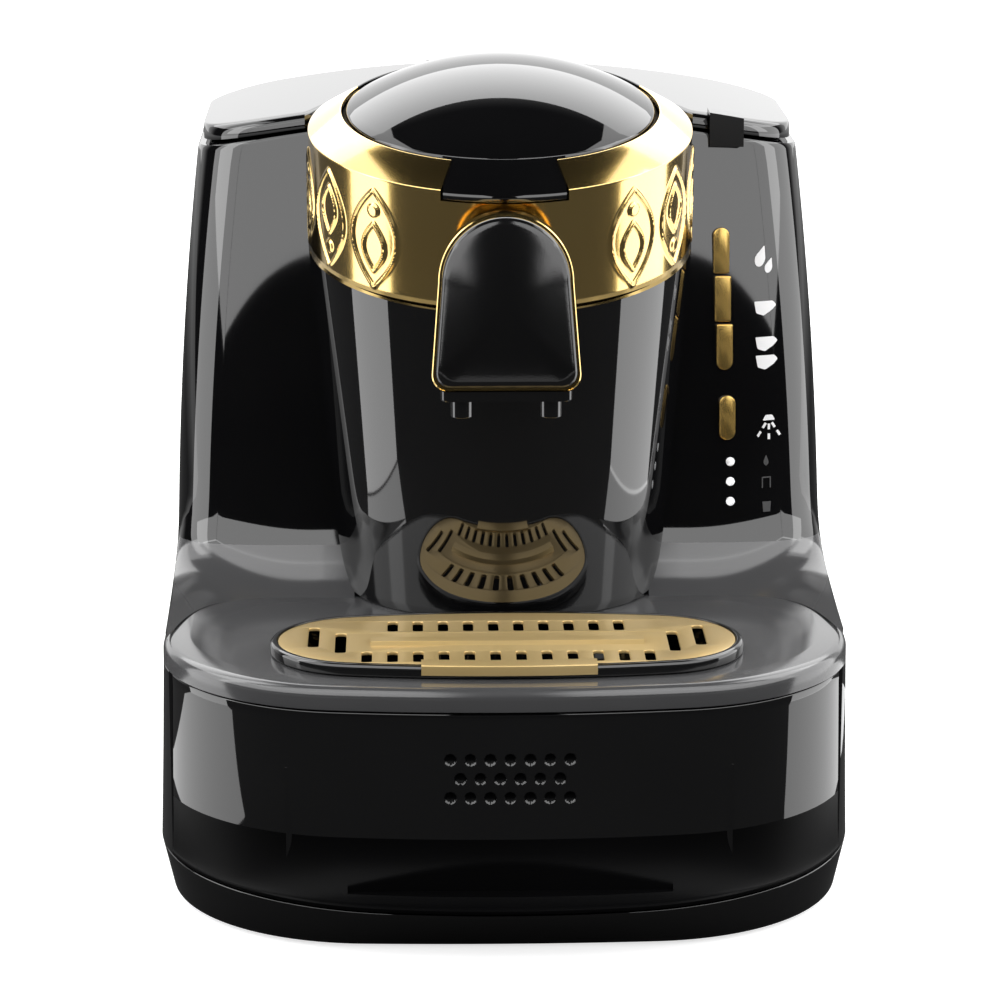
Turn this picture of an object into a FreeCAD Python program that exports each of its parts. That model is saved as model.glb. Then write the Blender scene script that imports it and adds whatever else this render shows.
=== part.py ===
"""Electric Turkish coffee maker, one STEP file per sub-part.

Millimetres. X runs to the right, Y to the back and Z up. The origin is the
middle of the footprint, on the surface that the machine stands on.
"""
import FreeCAD, Part
import math
import os

V = FreeCAD.Vector

# Clearances and walls
SEAM = 0.6             # shut line between covers that don't move
SLIP = 0.3             # gap beside a part that moves
WALL = 2.5             # moulded casing wall

# Footprint and heights
HALF_WIDTH = 115.0
FRONT_Y = -133.5
REAR_Y = 133.0
REAR_CORNER = 26.0
FOOT_HEIGHT = 1.2      # gap under the pan
CHIN_TOP = 17.0
FASCIA_BOTTOM = 17.6
DECK_TOP = 88.3
DECK_LIP = 8.2         # height of the rim round the deck
DECK_PLATE = 3.0

# Plan outlines: half width, front, front arc radius, corner radius
CHIN_LOW = (110.0, -115.7, 900.0, 66.0)
LEDGE = (HALF_WIDTH, FRONT_Y, 250.0, 90.0)
FASCIA_FOOT = (113.0, -120.0, 400.0, 68.0)
FASCIA_HEAD = (111.8, -120.5, 400.0, 65.0)
LIP = (112.3, -121.5, 400.0, 65.0)
FASCIA_END_Y = -71.5   # where the drawer front meets the side walls

# Drawer
FLARE_TOP = 38.0
FLARE_BOTTOM = 19.2
FLARE_STEPS = 6
FASCIA_WALL = 3.2
GRIP_HALF_WIDTH = 51.5
GRIP_BOTTOM = 21.4
GRIP_HEIGHT = 11.6
DIMPLE_RADIUS = 2.2
DIMPLE_PITCH = 6.28
DIMPLE_ROWS = ((7, 64.4), (6, 58.1), (7, 51.8))
BIN_HALF_WIDTH = 84.0
BIN_FRONT_Y = -104.0
BIN_LENGTH = 120.0
BIN_BOTTOM = 20.0
BIN_HEIGHT = 50.0
BIN_CORNER = 12.0
BIN_WALL = 2.0
RUNNER_X = 60.0
RUNNER_WIDTH = 6.0

# Drip tray
TRAY_Y = -78.0
TRAY_HALF_LENGTH = 76.4
TRAY_HALF_DEPTH = 34.0
TRAY_END_RADIUS = 30.0
TRAY_RIM_HEIGHT = 4.2
TRAY_RIM_WIDTH = 4.5
TRAY_DEPTH = 9.5
TRAY_WALL = 1.6
TAB_HALF = 27.8          # half width of the gold tab at the front
GRILLE_THICKNESS = 1.2
GRILLE_PITCH = 8.2
GRILLE_SLOT = (3.4, 12.0)
GRILLE_LONG_SLOT = (3.6, 23.0)

# Column under the head
COLUMN_Y = 14.0
COLUMN_FOOT_RADIUS = 55.2
COLUMN_FLARE = 0.082   # radius gained per millimetre of height
COLUMN_WALL = 2.4

# Head, in a frame that leans forward
HEAD_Z = 225.0
HEAD_TILT = 11.0
RING_RADIUS = 64.6
RING_WALL = 2.2
RING_LOW = -21.5
RING_HIGH = 21.0
RING_MOUTH_RADIUS = 53.2
RING_MOUTH_Z = 27.9
RING_SWEEP = 232.0     # degrees of the band, the rest is the hinge cover
LID_RADIUS = 51.8
LID_EDGE_Z = 27.6
LID_RISE = 14.7
LID_WALL = 2.4
LID_CHORD_Y = 43.0     # straight rear edge of the lid
LID_LIP = 1.4
TONGUE_HALF_WIDTH = 19.9
TONGUE_LOW_Z = 16.4
TONGUE_WALL = 2.2
HINGE_Y = 46.6
HINGE_Z = 26.6
HINGE_PIN_RADIUS = 1.5
HINGE_KNUCKLE_RADIUS = 3.2
HINGE_HALF_WIDTH = 18.0
HINGE_SWING = 8.9      # room for the lid's rear edge as it turns
HEAD_FLOOR_Z = -24.0
POT_RADIUS = 38.0
POT_WALL = 1.5
POT_FLOOR_Z = -15.0
POT_RIM_Z = 24.0

# Spout
NECK_RADIUS = 19.0
NECK_WALL = 2.0
NECK_Z = -5.5
NECK_REACH = 70.0
SHIELD_ARCH_RADIUS = 20.6
SHIELD_TOP_Z = 227.7
SHIELD_BOTTOM_Z = 173.8
SHIELD_HALF_WIDTH = 23.2
SHIELD_BACK_Y = -58.0
SHIELD_FRONT_LOW_Y = -76.0
SHIELD_FRONT_TOP_Y = -67.0
SHIELD_CORNER = 5.0
TRIM_WIDTH = 1.1
NOZZLE_X = 14.3
NOZZLE_Y = -68.0
NOZZLE_RADIUS = 3.5
NOZZLE_BORE = 2.5
NOZZLE_TIP_Z = 163.4
NOZZLE_PLATE = 3.4

# Rear housing with its two lobes
LOBE_INNER_X = 50.0
LOBE_MID_Z = 150.0
LOBE_LEAN = 0.178      # run to the back per millimetre of height
LOBE_FRONT_Y = 10.0    # front face at LOBE_MID_Z
LOBE_SIDE_X = 111.6    # half width at the deck
LOBE_SIDE_CURVE = 0.00038
LOBE_CORNER_Y = 30.0   # how far back the front corner reaches
SWEEP_TOP = 125.0      # the front starts to run out to the deck here
SWEEP_POWER = 6
SWEEP_FOOT = ((60.0, -12.0), (101.0, -8.0), (104.5, -20.0), (111.6, -68.0))
CROWN_RADIUS = 454.6
CROWN_TOP = 252.5
LID_COVER = 4.8        # thickness of the tank's top cover at its edge
COVER_HEAD_GAP = 3.4   # room round the head for the cover to lift out
CASING_DROP = 1.2      # gap between the casing's top edge and the cover
PARTITION_Y = 77.0
PARTITION_WALL = 2.5
HEAD_BACK_Y = 76.4     # the head and column stop short of the partition
HOUSING_CAP = 2.4

# Buttons and lamps on the right lobe
BUTTON_WIDTH = 5.6
BUTTON_PROUD = 1.0
BUTTON_DEPTH = 6.0
BUTTON_TRAVEL = 1.2
BUTTON_FLANGE = 1.6
BUTTONS = (
    ("button_heat", 75.6, 201.6, 15.6, "top"),
    ("button_one_cup", 76.1, 185.4, 15.6, "none"),
    ("button_two_cups", 76.7, 169.2, 15.6, "bottom"),
    ("button_rinse", 77.6, 145.4, 15.2, "both"),
)
LAMP_X = 78.7
LAMP_Z = (130.5, 123.8, 117.1)
LAMP_RADIUS = 1.5
LAMP_LENGTH = 9.0
BOARD_SETBACK = 12.0
BOARD_THICKNESS = 1.6

# Water tank
TANK_FRONT_Y = 80.4
TANK_REAR_Y = 131.4
TANK_FLOOR_Z = 98.5
TANK_WALL = 2.2
BAY_FLOOR = 2.6
OUTLET_Y = 106.0
SPIGOT_RADIUS = 8.0
SEAT_RADIUS = 13.0
COVER_PIN_Y = 130.3
COVER_PIN_Z = 238.0
COVER_PIN_RADIUS = 1.3
COVER_KNUCKLE_RADIUS = 2.6
COVER_ARM_X = 33.0     # the two hinge arms of the cover
COVER_ARM_HALF = 4.0
TAB_X = (71.6, 83.2)

# Cord gland in the back wall
GLAND_X = 72.0
GLAND_Z = 34.0
GLAND_BORE = 3.6
GLAND_LENGTH = 14.0

# Inside the casing
FOOT_RADIUS = 9.0
BOARD_FLOOR_Z = 30.0
PUMP_X = -86.0
PUMP_Y = 50.0
DRAIN_X = 0.0
DRAIN_Y = 0.0
DELIVERY_Y = 40.0
DELIVERY_Z = 176.0

MODELS = {}


def keep(name, shape):
    """Store a finished sub-part under its node name."""
    MODELS[name] = shape.removeSplitter()


def box(x0, x1, y0, y1, z0, z1):
    """Block between two corners."""
    return Part.makeBox(x1 - x0, y1 - y0, z1 - z0, V(x0, y0, z0))


def post(radius, x, y, z0, z1):
    """Upright cylinder."""
    return Part.makeCylinder(radius, z1 - z0, V(x, y, z0))


def tube(outer, inner, x, y, z0, z1):
    """Upright tube."""
    return post(outer, x, y, z0, z1).cut(post(inner, x, y, z0 - 1, z1 + 1))


def arc(a, b, c):
    """Edge of the arc through three points."""
    return Part.Arc(a, b, c).toShape()


def line(a, b):
    """Straight edge."""
    return Part.LineSegment(a, b).toShape()


def polygon(points):
    """Closed wire of straight edges."""
    return Part.makePolygon(list(points) + [points[0]])


def solid_of(wire, direction):
    """Face inside a closed wire, pushed along a direction."""
    return Part.Face(wire).extrude(direction)


def outline(plan, z, inset=0.0, rear=REAR_Y):
    """Plan outline: shallow front arc, corner arcs, straight sides, round rear corners."""
    half, front, front_r, corner_r = plan
    half -= inset
    front_r -= inset
    corner_r -= inset
    front += inset
    rear -= inset
    rear_r = REAR_CORNER - inset
    arc_centre = front + front_r
    cx = half - corner_r
    cy = arc_centre - math.sqrt((front_r - corner_r) ** 2 - cx ** 2)
    reach = front_r / (front_r - corner_r)
    tx = cx * reach
    ty = arc_centre + (cy - arc_centre) * reach
    middle = math.atan2(cy - arc_centre, cx) / 2
    mx = cx + corner_r * math.cos(middle)
    my = cy + corner_r * math.sin(middle)
    bend = rear_r * (1 - math.sqrt(0.5))
    edges = [
        arc(V(-tx, ty, z), V(0, front, z), V(tx, ty, z)),
        arc(V(tx, ty, z), V(mx, my, z), V(half, cy, z)),
        line(V(half, cy, z), V(half, rear - rear_r, z)),
        arc(V(half, rear - rear_r, z), V(half - bend, rear - bend, z), V(half - rear_r, rear, z)),
        line(V(half - rear_r, rear, z), V(rear_r - half, rear, z)),
        arc(V(rear_r - half, rear, z), V(bend - half, rear - bend, z), V(-half, rear - rear_r, z)),
        line(V(-half, rear - rear_r, z), V(-half, cy, z)),
        arc(V(-half, cy, z), V(-mx, my, z), V(-tx, ty, z)),
    ]
    return Part.Wire(edges)


def slab(plan, z0, z1, inset=0.0):
    """Upright prism of a plan outline."""
    return solid_of(outline(plan, z0, inset), V(0, 0, z1 - z0))


def blend_plan(plan_a, plan_b, share):
    """Plan outline part of the way from one to another."""
    return tuple(a + (b - a) * share for a, b in zip(plan_a, plan_b))


def oval(half_length, half_depth, end_radius, z):
    """Oval of two long arcs and two end arcs, about the tray's centre."""
    cx = half_length - end_radius
    drop = (cx ** 2 - (half_depth - end_radius) ** 2) / (2 * (half_depth - end_radius))
    long_r = half_depth + drop
    reach = long_r / (long_r - end_radius)
    tx = cx * reach
    ty = drop * reach - drop
    points = {}
    for sx in (-1, 1):
        for sy in (-1, 1):
            points[sx, sy] = V(sx * tx, TRAY_Y + sy * ty, z)
    return Part.Wire([
        arc(points[-1, -1], V(0, TRAY_Y - half_depth, z), points[1, -1]),
        arc(points[1, -1], V(half_length, TRAY_Y, z), points[1, 1]),
        arc(points[1, 1], V(0, TRAY_Y + half_depth, z), points[-1, 1]),
        arc(points[-1, 1], V(-half_length, TRAY_Y, z), points[-1, -1]),
    ])


def oval_slab(inset, z0, z1):
    """Prism of the tray's oval, drawn in by an inset."""
    wire = oval(TRAY_HALF_LENGTH - inset, TRAY_HALF_DEPTH - inset, TRAY_END_RADIUS - inset, z0)
    return solid_of(wire, V(0, 0, z1 - z0))


def in_head(shape):
    """Carry a shape from the head's own frame to the machine's."""
    placed = shape.copy()
    move = FreeCAD.Placement(V(0, COLUMN_Y, HEAD_Z), FreeCAD.Rotation(V(1, 0, 0), HEAD_TILT))
    placed.Placement = move.multiply(shape.Placement)
    return placed


def before_partition(shape):
    """The part of a shape in front of the partition."""
    return shape.common(box(-130, 130, -140, HEAD_BACK_Y, 0, 300))


def turned(profile, degrees=360.0, start=0.0):
    """Turn a profile of (radius, height) points about the Z axis."""
    wire = polygon([V(r, 0, z) for r, z in profile])
    wire.rotate(V(0, 0, 0), V(0, 0, 1), start)
    return Part.Face(wire).revolve(V(0, 0, 0), V(0, 0, 1), degrees)


def neck_cutter(radius):
    """Cylinder along the spout's neck, in the head's frame."""
    return Part.makeCylinder(radius, 60, V(0, -34, NECK_Z), V(0, -1, 0))


def column_radius(z):
    """Outer radius of the column at a height."""
    return COLUMN_FOOT_RADIUS + COLUMN_FLARE * (z - DECK_TOP)


def column_cone(offset, z0, z1):
    """Solid cone of the column, grown by an offset."""
    return Part.makeCone(column_radius(z0) + offset, column_radius(z1) + offset, z1 - z0, V(0, COLUMN_Y, z0))


def pipe(points, radius, bend):
    """Round tube along straight runs joined by tangent arcs."""
    edges = []
    start = points[0]
    for before, corner, after in zip(points, points[1:], points[2:]):
        into = (corner - before).normalize()
        out = (after - corner).normalize()
        half_turn = into.getAngle(out) / 2
        back = bend * math.tan(half_turn)
        enter = corner - into * back
        leave = corner + out * back
        bulge = (out - into).normalize()
        middle = corner + bulge * (bend / math.cos(half_turn) - bend)
        edges.append(line(start, enter))
        edges.append(arc(enter, middle, leave))
        start = leave
    edges.append(line(start, points[-1]))
    path = Part.Wire(edges)
    first = (points[1] - points[0]).normalize()
    ring = Part.Wire(Part.makeCircle(radius, points[0], first))
    swept = path.makePipeShell([ring], True, False)
    expected = math.pi * radius ** 2 * path.Length
    print("pipe", round(path.Length, 1), "mm, volume share", round(swept.Volume / expected, 4))
    return swept


def crown(offset):
    """Solid below the crowned top of the rear cover."""
    centre = V(0, 0, CROWN_TOP - CROWN_RADIUS)
    return Part.makeCylinder(CROWN_RADIUS + offset, 160, centre, V(0, 1, 0))


def lobe_controls(z):
    """Four control points of the front edge of a lobe at a height."""
    rise = z - LOBE_MID_Z
    lean = LOBE_FRONT_Y + LOBE_LEAN * rise
    side = LOBE_SIDE_X - LOBE_SIDE_CURVE * (z - DECK_TOP) ** 2
    plain = [(60.0, lean), (side - 19.0, lean + 1.0), (side, lean + 6.0), (side, lean + LOBE_CORNER_Y)]
    share = 0.0
    if z < SWEEP_TOP:
        share = ((SWEEP_TOP - z) / (SWEEP_TOP - DECK_TOP)) ** SWEEP_POWER
    mixed = []
    for (x0, y0), (x1, y1) in zip(plain, SWEEP_FOOT):
        mixed.append((x0 + (x1 - x0) * share, y0 + (y1 - y0) * share))
    mixed[3] = (side, mixed[3][1])
    return mixed


def lobe_point(z, t):
    """Point on the front edge of a lobe at a height."""
    weights = ((1 - t) ** 3, 3 * t * (1 - t) ** 2, 3 * t ** 2 * (1 - t), t ** 3)
    controls = lobe_controls(z)
    x = sum(w * p[0] for w, p in zip(weights, controls))
    y = sum(w * p[1] for w, p in zip(weights, controls))
    return x, y


def lobe_face_y(x, z):
    """Depth of a lobe's front face at a place across and up."""
    low = 0.0
    high = 1.0
    for _ in range(40):
        t = (low + high) / 2
        if lobe_point(z, t)[0] < x:
            low = t
        else:
            high = t
    return lobe_point(z, low)[1]


def lobe_wire(z, inset, rear):
    """Plan section of the right lobe: curved front, straight side, back and inner edge."""
    controls = lobe_controls(z)
    inner = LOBE_INNER_X + inset
    side = controls[3][0] - inset
    front = [
        V(max(controls[0][0], inner), controls[0][1] + inset, z),
        V(controls[1][0] - inset, controls[1][1] + inset, z),
        V(controls[2][0] - inset, controls[2][1] + inset, z),
        V(side, controls[3][1] + inset, z),
    ]
    curve = Part.BezierCurve()
    curve.setPoles(front)
    start = V(inner, front[0].y, z)
    return Part.Wire([
        line(start, front[0]),
        curve.toShape(),
        line(front[3], V(side, rear, z)),
        line(V(side, rear, z), V(inner, rear, z)),
        line(V(inner, rear, z), start),
    ])


def lobe_solid(z_low, z_high, inset, rear):
    """Right lobe as stacked sections, close together where the front runs out."""
    heights = [z_low]
    for z in (89.6, 90.8, 92.3, 94.0, 96.2, 99.0, 103.0, 108.0, 115.0, SWEEP_TOP, 165.0, 205.0):
        if z_low < z < z_high:
            heights.append(z)
    heights.append(z_high)
    wires = [lobe_wire(z, inset, rear) for z in heights]
    return Part.makeLoft(wires, True, True)


def both_sides(shape):
    """A shape and its mirror image across the machine."""
    return shape.fuse(shape.mirror(V(0, 0, 0), V(1, 0, 0)))


def head_clearance(gap):
    """Room for the column and the leaning head inside the housing."""
    top = 205.0
    cone = column_cone(gap, DECK_TOP - 20, top)
    drum = in_head(post(RING_RADIUS + gap, 0, 0, -32, 60))
    return cone.fuse(drum)


def base_pan():
    """Floor of the machine with its chin, drawer runners and posts."""
    low = FOOT_HEIGHT
    shell = Part.makeLoft([outline(CHIN_LOW, low), outline(LEDGE, CHIN_TOP, 0.5)], True, True)
    pocket = Part.makeLoft(
        [outline(CHIN_LOW, low + WALL, 5.0), outline(LEDGE, CHIN_TOP + 0.1, 4.0)], True, True)
    pan = shell.cut(pocket)
    runner_top = BIN_BOTTOM - SLIP
    for side in (-1, 1):
        x = side * RUNNER_X
        runner = box(x - RUNNER_WIDTH / 2, x + RUNNER_WIDTH / 2, -96, 20, low + 1, runner_top)
        pan = pan.fuse(runner)
    for x, y in board_posts():
        pan = pan.fuse(post(4, x, y, low + 1, BOARD_FLOOR_Z))
    for x, y in foot_places():
        pan = pan.cut(post(FOOT_RADIUS + 0.1, x, y, 0, low + 1.0))
        pan = pan.cut(post(2.2, x, y, 0, low + 1.8))
    for x, y in base_screw_places():
        pan = pan.fuse(post(5, x, y, low + 1, CHIN_TOP))
        pan = pan.cut(post(1.6, x, y, 0, CHIN_TOP + 1))
        pan = pan.cut(post(3.2, x, y, 0, low + 2))
    return pan


def foot_places():
    """Centres of the four rubber feet."""
    return [(sx * 82.0, y) for sx in (-1, 1) for y in (-72.0, 108.0)]


def board_posts():
    """Centres of the posts under the power board."""
    return [(sx * 48.0, y) for sx in (-1, 1) for y in (48.0, 102.0)]


def base_screw_places():
    """Centres of the screws that hold the pan to the side walls."""
    return [(sx * 99.0, y) for sx in (-1, 1) for y in (-52.0, 30.0, 100.0)]


def rubber_feet():
    """Four feet pressed into the pan."""
    feet = []
    for x, y in foot_places():
        pad = post(FOOT_RADIUS, x, y, 0, FOOT_HEIGHT + 1.0)
        feet.append(pad.fuse(post(2.2, x, y, 0, FOOT_HEIGHT + 1.8)))
    return Part.makeCompound(feet)


def base_screws():
    """Screws driven up through the pan into the side walls."""
    screws = []
    for x, y in base_screw_places():
        head = post(3.0, x, y, FOOT_HEIGHT + 0.2, FOOT_HEIGHT + 2)
        screws.append(head.fuse(post(1.5, x, y, FOOT_HEIGHT + 2, CHIN_TOP + 8)))
    return Part.makeCompound(screws)


def base_shell():
    """Side and back walls of the base, with screw bosses and the drawer's bulkhead."""
    low = CHIN_TOP
    high = DECK_TOP - DECK_LIP
    walls = Part.makeLoft([outline(LEDGE, low, 0.4), outline(LIP, high)], True, True)
    hollow = Part.makeLoft(
        [outline(LEDGE, low - 0.1, 0.4 + WALL), outline(LIP, high + 0.1, WALL)], True, True)
    shell = walls.cut(hollow)
    shell = shell.cut(box(-130, 130, -140, FASCIA_END_Y, low - 1, high + 1))
    inside = hollow.common(box(-130, 130, -140, 140, low, high))
    hollow_wide = Part.makeLoft([outline(LEDGE, low, 1.5), outline(LIP, high, 1.5)], True, True)
    bulkhead_y = BIN_FRONT_Y + BIN_LENGTH + 6
    bulkhead = box(-120, 120, bulkhead_y, bulkhead_y + WALL, low, high).common(inside)
    shell = shell.fuse(bulkhead)
    for x, y in base_screw_places():
        wall_x = math.copysign(HALF_WIDTH, x)
        web = box(min(x, wall_x), max(x, wall_x), y - 2, y + 2, low, low + 14)
        boss = post(5, x, y, low, low + 14).fuse(web)
        shell = shell.fuse(boss.common(hollow_wide)).cut(post(1.6, x, y, low - 1, low + 10))
    gland_hole = Part.makeCylinder(GLAND_BORE + 3.4, 20, V(GLAND_X, REAR_Y - 10, GLAND_Z), V(0, 1, 0))
    return shell.cut(gland_hole)


def deck():
    """Top of the base with its rim and the basin for the drip tray."""
    low = DECK_TOP - DECK_LIP
    block = slab(LIP, low, DECK_TOP)
    block = block.makeFillet(1.6, top_edges(block, DECK_TOP))
    under = slab(LIP, low - 1, DECK_TOP - DECK_PLATE, WALL)
    plate = block.cut(under)
    basin_floor = DECK_TOP - TRAY_DEPTH - SLIP - TRAY_WALL
    basin = oval_slab(TRAY_RIM_WIDTH - WALL, basin_floor, DECK_TOP - DECK_PLATE + 0.1)
    plate = plate.fuse(basin)
    plate = plate.cut(oval_slab(TRAY_RIM_WIDTH - 0.5, basin_floor + TRAY_WALL, DECK_TOP + 1))
    plate = plate.cut(post(4, 0, TRAY_Y, basin_floor - 1, DECK_TOP))
    for x, y in pipe_passes():
        plate = plate.cut(post(4.6, x, y, low - 1, DECK_TOP + 1))
    plate = plate.cut(post(SEAT_RADIUS + 2, 0, OUTLET_Y, low - 1, DECK_TOP + 1))
    return plate


def pipe_passes():
    """Places where pipes go through the deck."""
    return [(PUMP_X, PUMP_Y), (DRAIN_X, DRAIN_Y)]


def top_edges(shape, z):
    """Edges of a shape that lie in the level plane at a height."""
    return [e for e in shape.Edges if abs(e.BoundBox.ZMin - z) < 1e-3 and abs(e.BoundBox.ZMax - z) < 1e-3]


def fascia_solid():
    """Outside of the drawer front: upright wall that flares out to a ledge."""
    top = DECK_TOP - DECK_LIP - SEAM
    wires = [outline(FASCIA_HEAD, top), outline(FASCIA_FOOT, FLARE_TOP)]
    for step in range(1, FLARE_STEPS + 1):
        angle = math.radians(90.0 * step / FLARE_STEPS)
        z = FLARE_TOP - (FLARE_TOP - FLARE_BOTTOM) * math.sin(angle)
        wires.append(outline(blend_plan(FASCIA_FOOT, LEDGE, 1 - math.cos(angle)), z))
    wires.append(outline(LEDGE, FASCIA_BOTTOM))
    return Part.makeLoft(wires, True, True)


def drawer_fascia():
    """Drawer front with its finger grip and rows of dimples."""
    top = DECK_TOP - DECK_LIP - SEAM
    front = fascia_solid()
    front = front.cut(slab(FASCIA_HEAD, FASCIA_BOTTOM - 1, top + 1, FASCIA_WALL))
    front = front.common(box(-130, 130, -140, FASCIA_END_Y - SEAM, 0, 200))
    grip_back = FASCIA_HEAD[1] - 0.6
    front = front.cut(box(-GRIP_HALF_WIDTH, GRIP_HALF_WIDTH, -140, grip_back,
                          GRIP_BOTTOM, GRIP_BOTTOM + GRIP_HEIGHT))
    radius = FASCIA_HEAD[2]
    for count, z in DIMPLE_ROWS:
        for index in range(count):
            x = (index - (count - 1) / 2) * DIMPLE_PITCH
            y = FASCIA_HEAD[1] + radius - math.sqrt(radius ** 2 - x ** 2)
            front = front.cut(Part.makeSphere(DIMPLE_RADIUS, V(x, y - 1.0, z)))
    for side in (-1, 1):
        x = side * 66.0
        arm = box(x - 5, x + 5, -125, BIN_FRONT_Y, BIN_BOTTOM + 6, BIN_BOTTOM + 40)
        front = front.fuse(arm.common(slab(FASCIA_HEAD, 0, 200, 1.0)))
    return front


def waste_tank():
    """Bin behind the drawer front, open at the top."""
    outer = rounded_block(BIN_HALF_WIDTH, BIN_FRONT_Y, BIN_FRONT_Y + BIN_LENGTH, BIN_BOTTOM,
                          BIN_BOTTOM + BIN_HEIGHT, BIN_CORNER)
    inner = rounded_block(BIN_HALF_WIDTH - BIN_WALL, BIN_FRONT_Y + BIN_WALL,
                          BIN_FRONT_Y + BIN_LENGTH - BIN_WALL, BIN_BOTTOM + BIN_WALL,
                          BIN_BOTTOM + BIN_HEIGHT + 1, BIN_CORNER - BIN_WALL)
    return outer.cut(inner)


def rounded_block(half_width, y0, y1, z0, z1, radius):
    """Block with four round upright corners."""
    block = box(-half_width, half_width, y0, y1, z0, z1)
    uprights = [e for e in block.Edges if e.BoundBox.ZLength > (z1 - z0) - 1e-3]
    return block.makeFillet(radius, uprights)


def drip_tray():
    """Black tray with a raised rim that rests on the deck."""
    floor = DECK_TOP - TRAY_DEPTH
    rim_low = DECK_TOP + SLIP
    rim_high = DECK_TOP + TRAY_RIM_HEIGHT
    rim = oval_slab(0, rim_low, rim_high)
    rim = rim.makeFillet(1.4, top_edges(rim, rim_high))
    cup = oval_slab(TRAY_RIM_WIDTH, floor, rim_low + 0.1)
    tray = rim.fuse(cup)
    tray = tray.cut(oval_slab(TRAY_RIM_WIDTH + TRAY_WALL, floor + TRAY_WALL, rim_high + 1))
    seat = rim_high - 0.4 - GRILLE_THICKNESS
    tray = tray.cut(oval_slab(2.2, seat, rim_high + 1))
    front = TRAY_Y - TRAY_HALF_DEPTH
    tab_cut = box(-TAB_HALF - SLIP, TAB_HALF + SLIP, front - 1, front + 6,
                  seat, rim_high + 1)
    skirt_cut = box(-TAB_HALF - SLIP, TAB_HALF + SLIP, TRAY_Y - TRAY_HALF_DEPTH - 1,
                    TRAY_Y - TRAY_HALF_DEPTH + 1.1, seat - 2.8, seat + 0.1)
    return tray.cut(tab_cut).cut(skirt_cut)


def drip_grille():
    """Gold plate of the drip tray with its slots, end lobes and front tab."""
    rim_high = DECK_TOP + TRAY_RIM_HEIGHT
    low = rim_high - 0.4 - GRILLE_THICKNESS + 0.05
    high = low + GRILLE_THICKNESS
    plate = oval_slab(2.2 + SLIP, low, high)
    front_y = TRAY_Y - TRAY_HALF_DEPTH
    tab = box(-TAB_HALF, TAB_HALF, front_y - 0.2, front_y + 6, low, high)
    tab = tab.fuse(box(-TAB_HALF, TAB_HALF, front_y - 0.2, front_y + 0.8, low - 2.4, low))
    plate = plate.fuse(tab)
    wide, deep = GRILLE_SLOT
    for index in range(12):
        x = (index - 5.5) * GRILLE_PITCH
        plate = plate.cut(box(x - wide / 2, x + wide / 2, -98.5 - deep / 2, -98.5 + deep / 2, low - 1, high + 1))
        if abs(index - 5.5) < 5:
            slot = box(x - wide / 2, x + wide / 2, -63 - deep / 2, -63 + deep / 2, low - 1, high + 1)
            plate = plate.cut(slot)
    wide, deep = GRILLE_LONG_SLOT
    for x, y in ((-53.3, -82.0), (53.3, -82.0), (-62.2, -75.0), (62.2, -75.0)):
        plate = plate.cut(box(x - wide / 2, x + wide / 2, y - deep / 2, y + deep / 2, low - 1, high + 1))
    for x in (-30.0, -10.0, 10.0, 30.0):
        plate = plate.cut(box(x - 7, x + 7, -83.2, -79.6, low - 1, high + 1))
    return plate


def column_shell():
    """Tapered column between deck and head."""
    high = 215.0
    outer = column_cone(0, DECK_TOP, high)
    inner = column_cone(-COLUMN_WALL, DECK_TOP - 1, high + 1)
    shell = outer.cut(inner)
    above = in_head(box(-90, 90, -90, 90, HEAD_FLOOR_Z, 90))
    shell = shell.cut(above)
    shell = shell.cut(in_head(neck_cutter(NECK_RADIUS + 0.3)))
    pass_z = DELIVERY_Z
    shell = shell.cut(Part.makeCylinder(4.4, 40, V(-80, DELIVERY_Y, pass_z), V(1, 0, 0)))
    return before_partition(shell)


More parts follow.
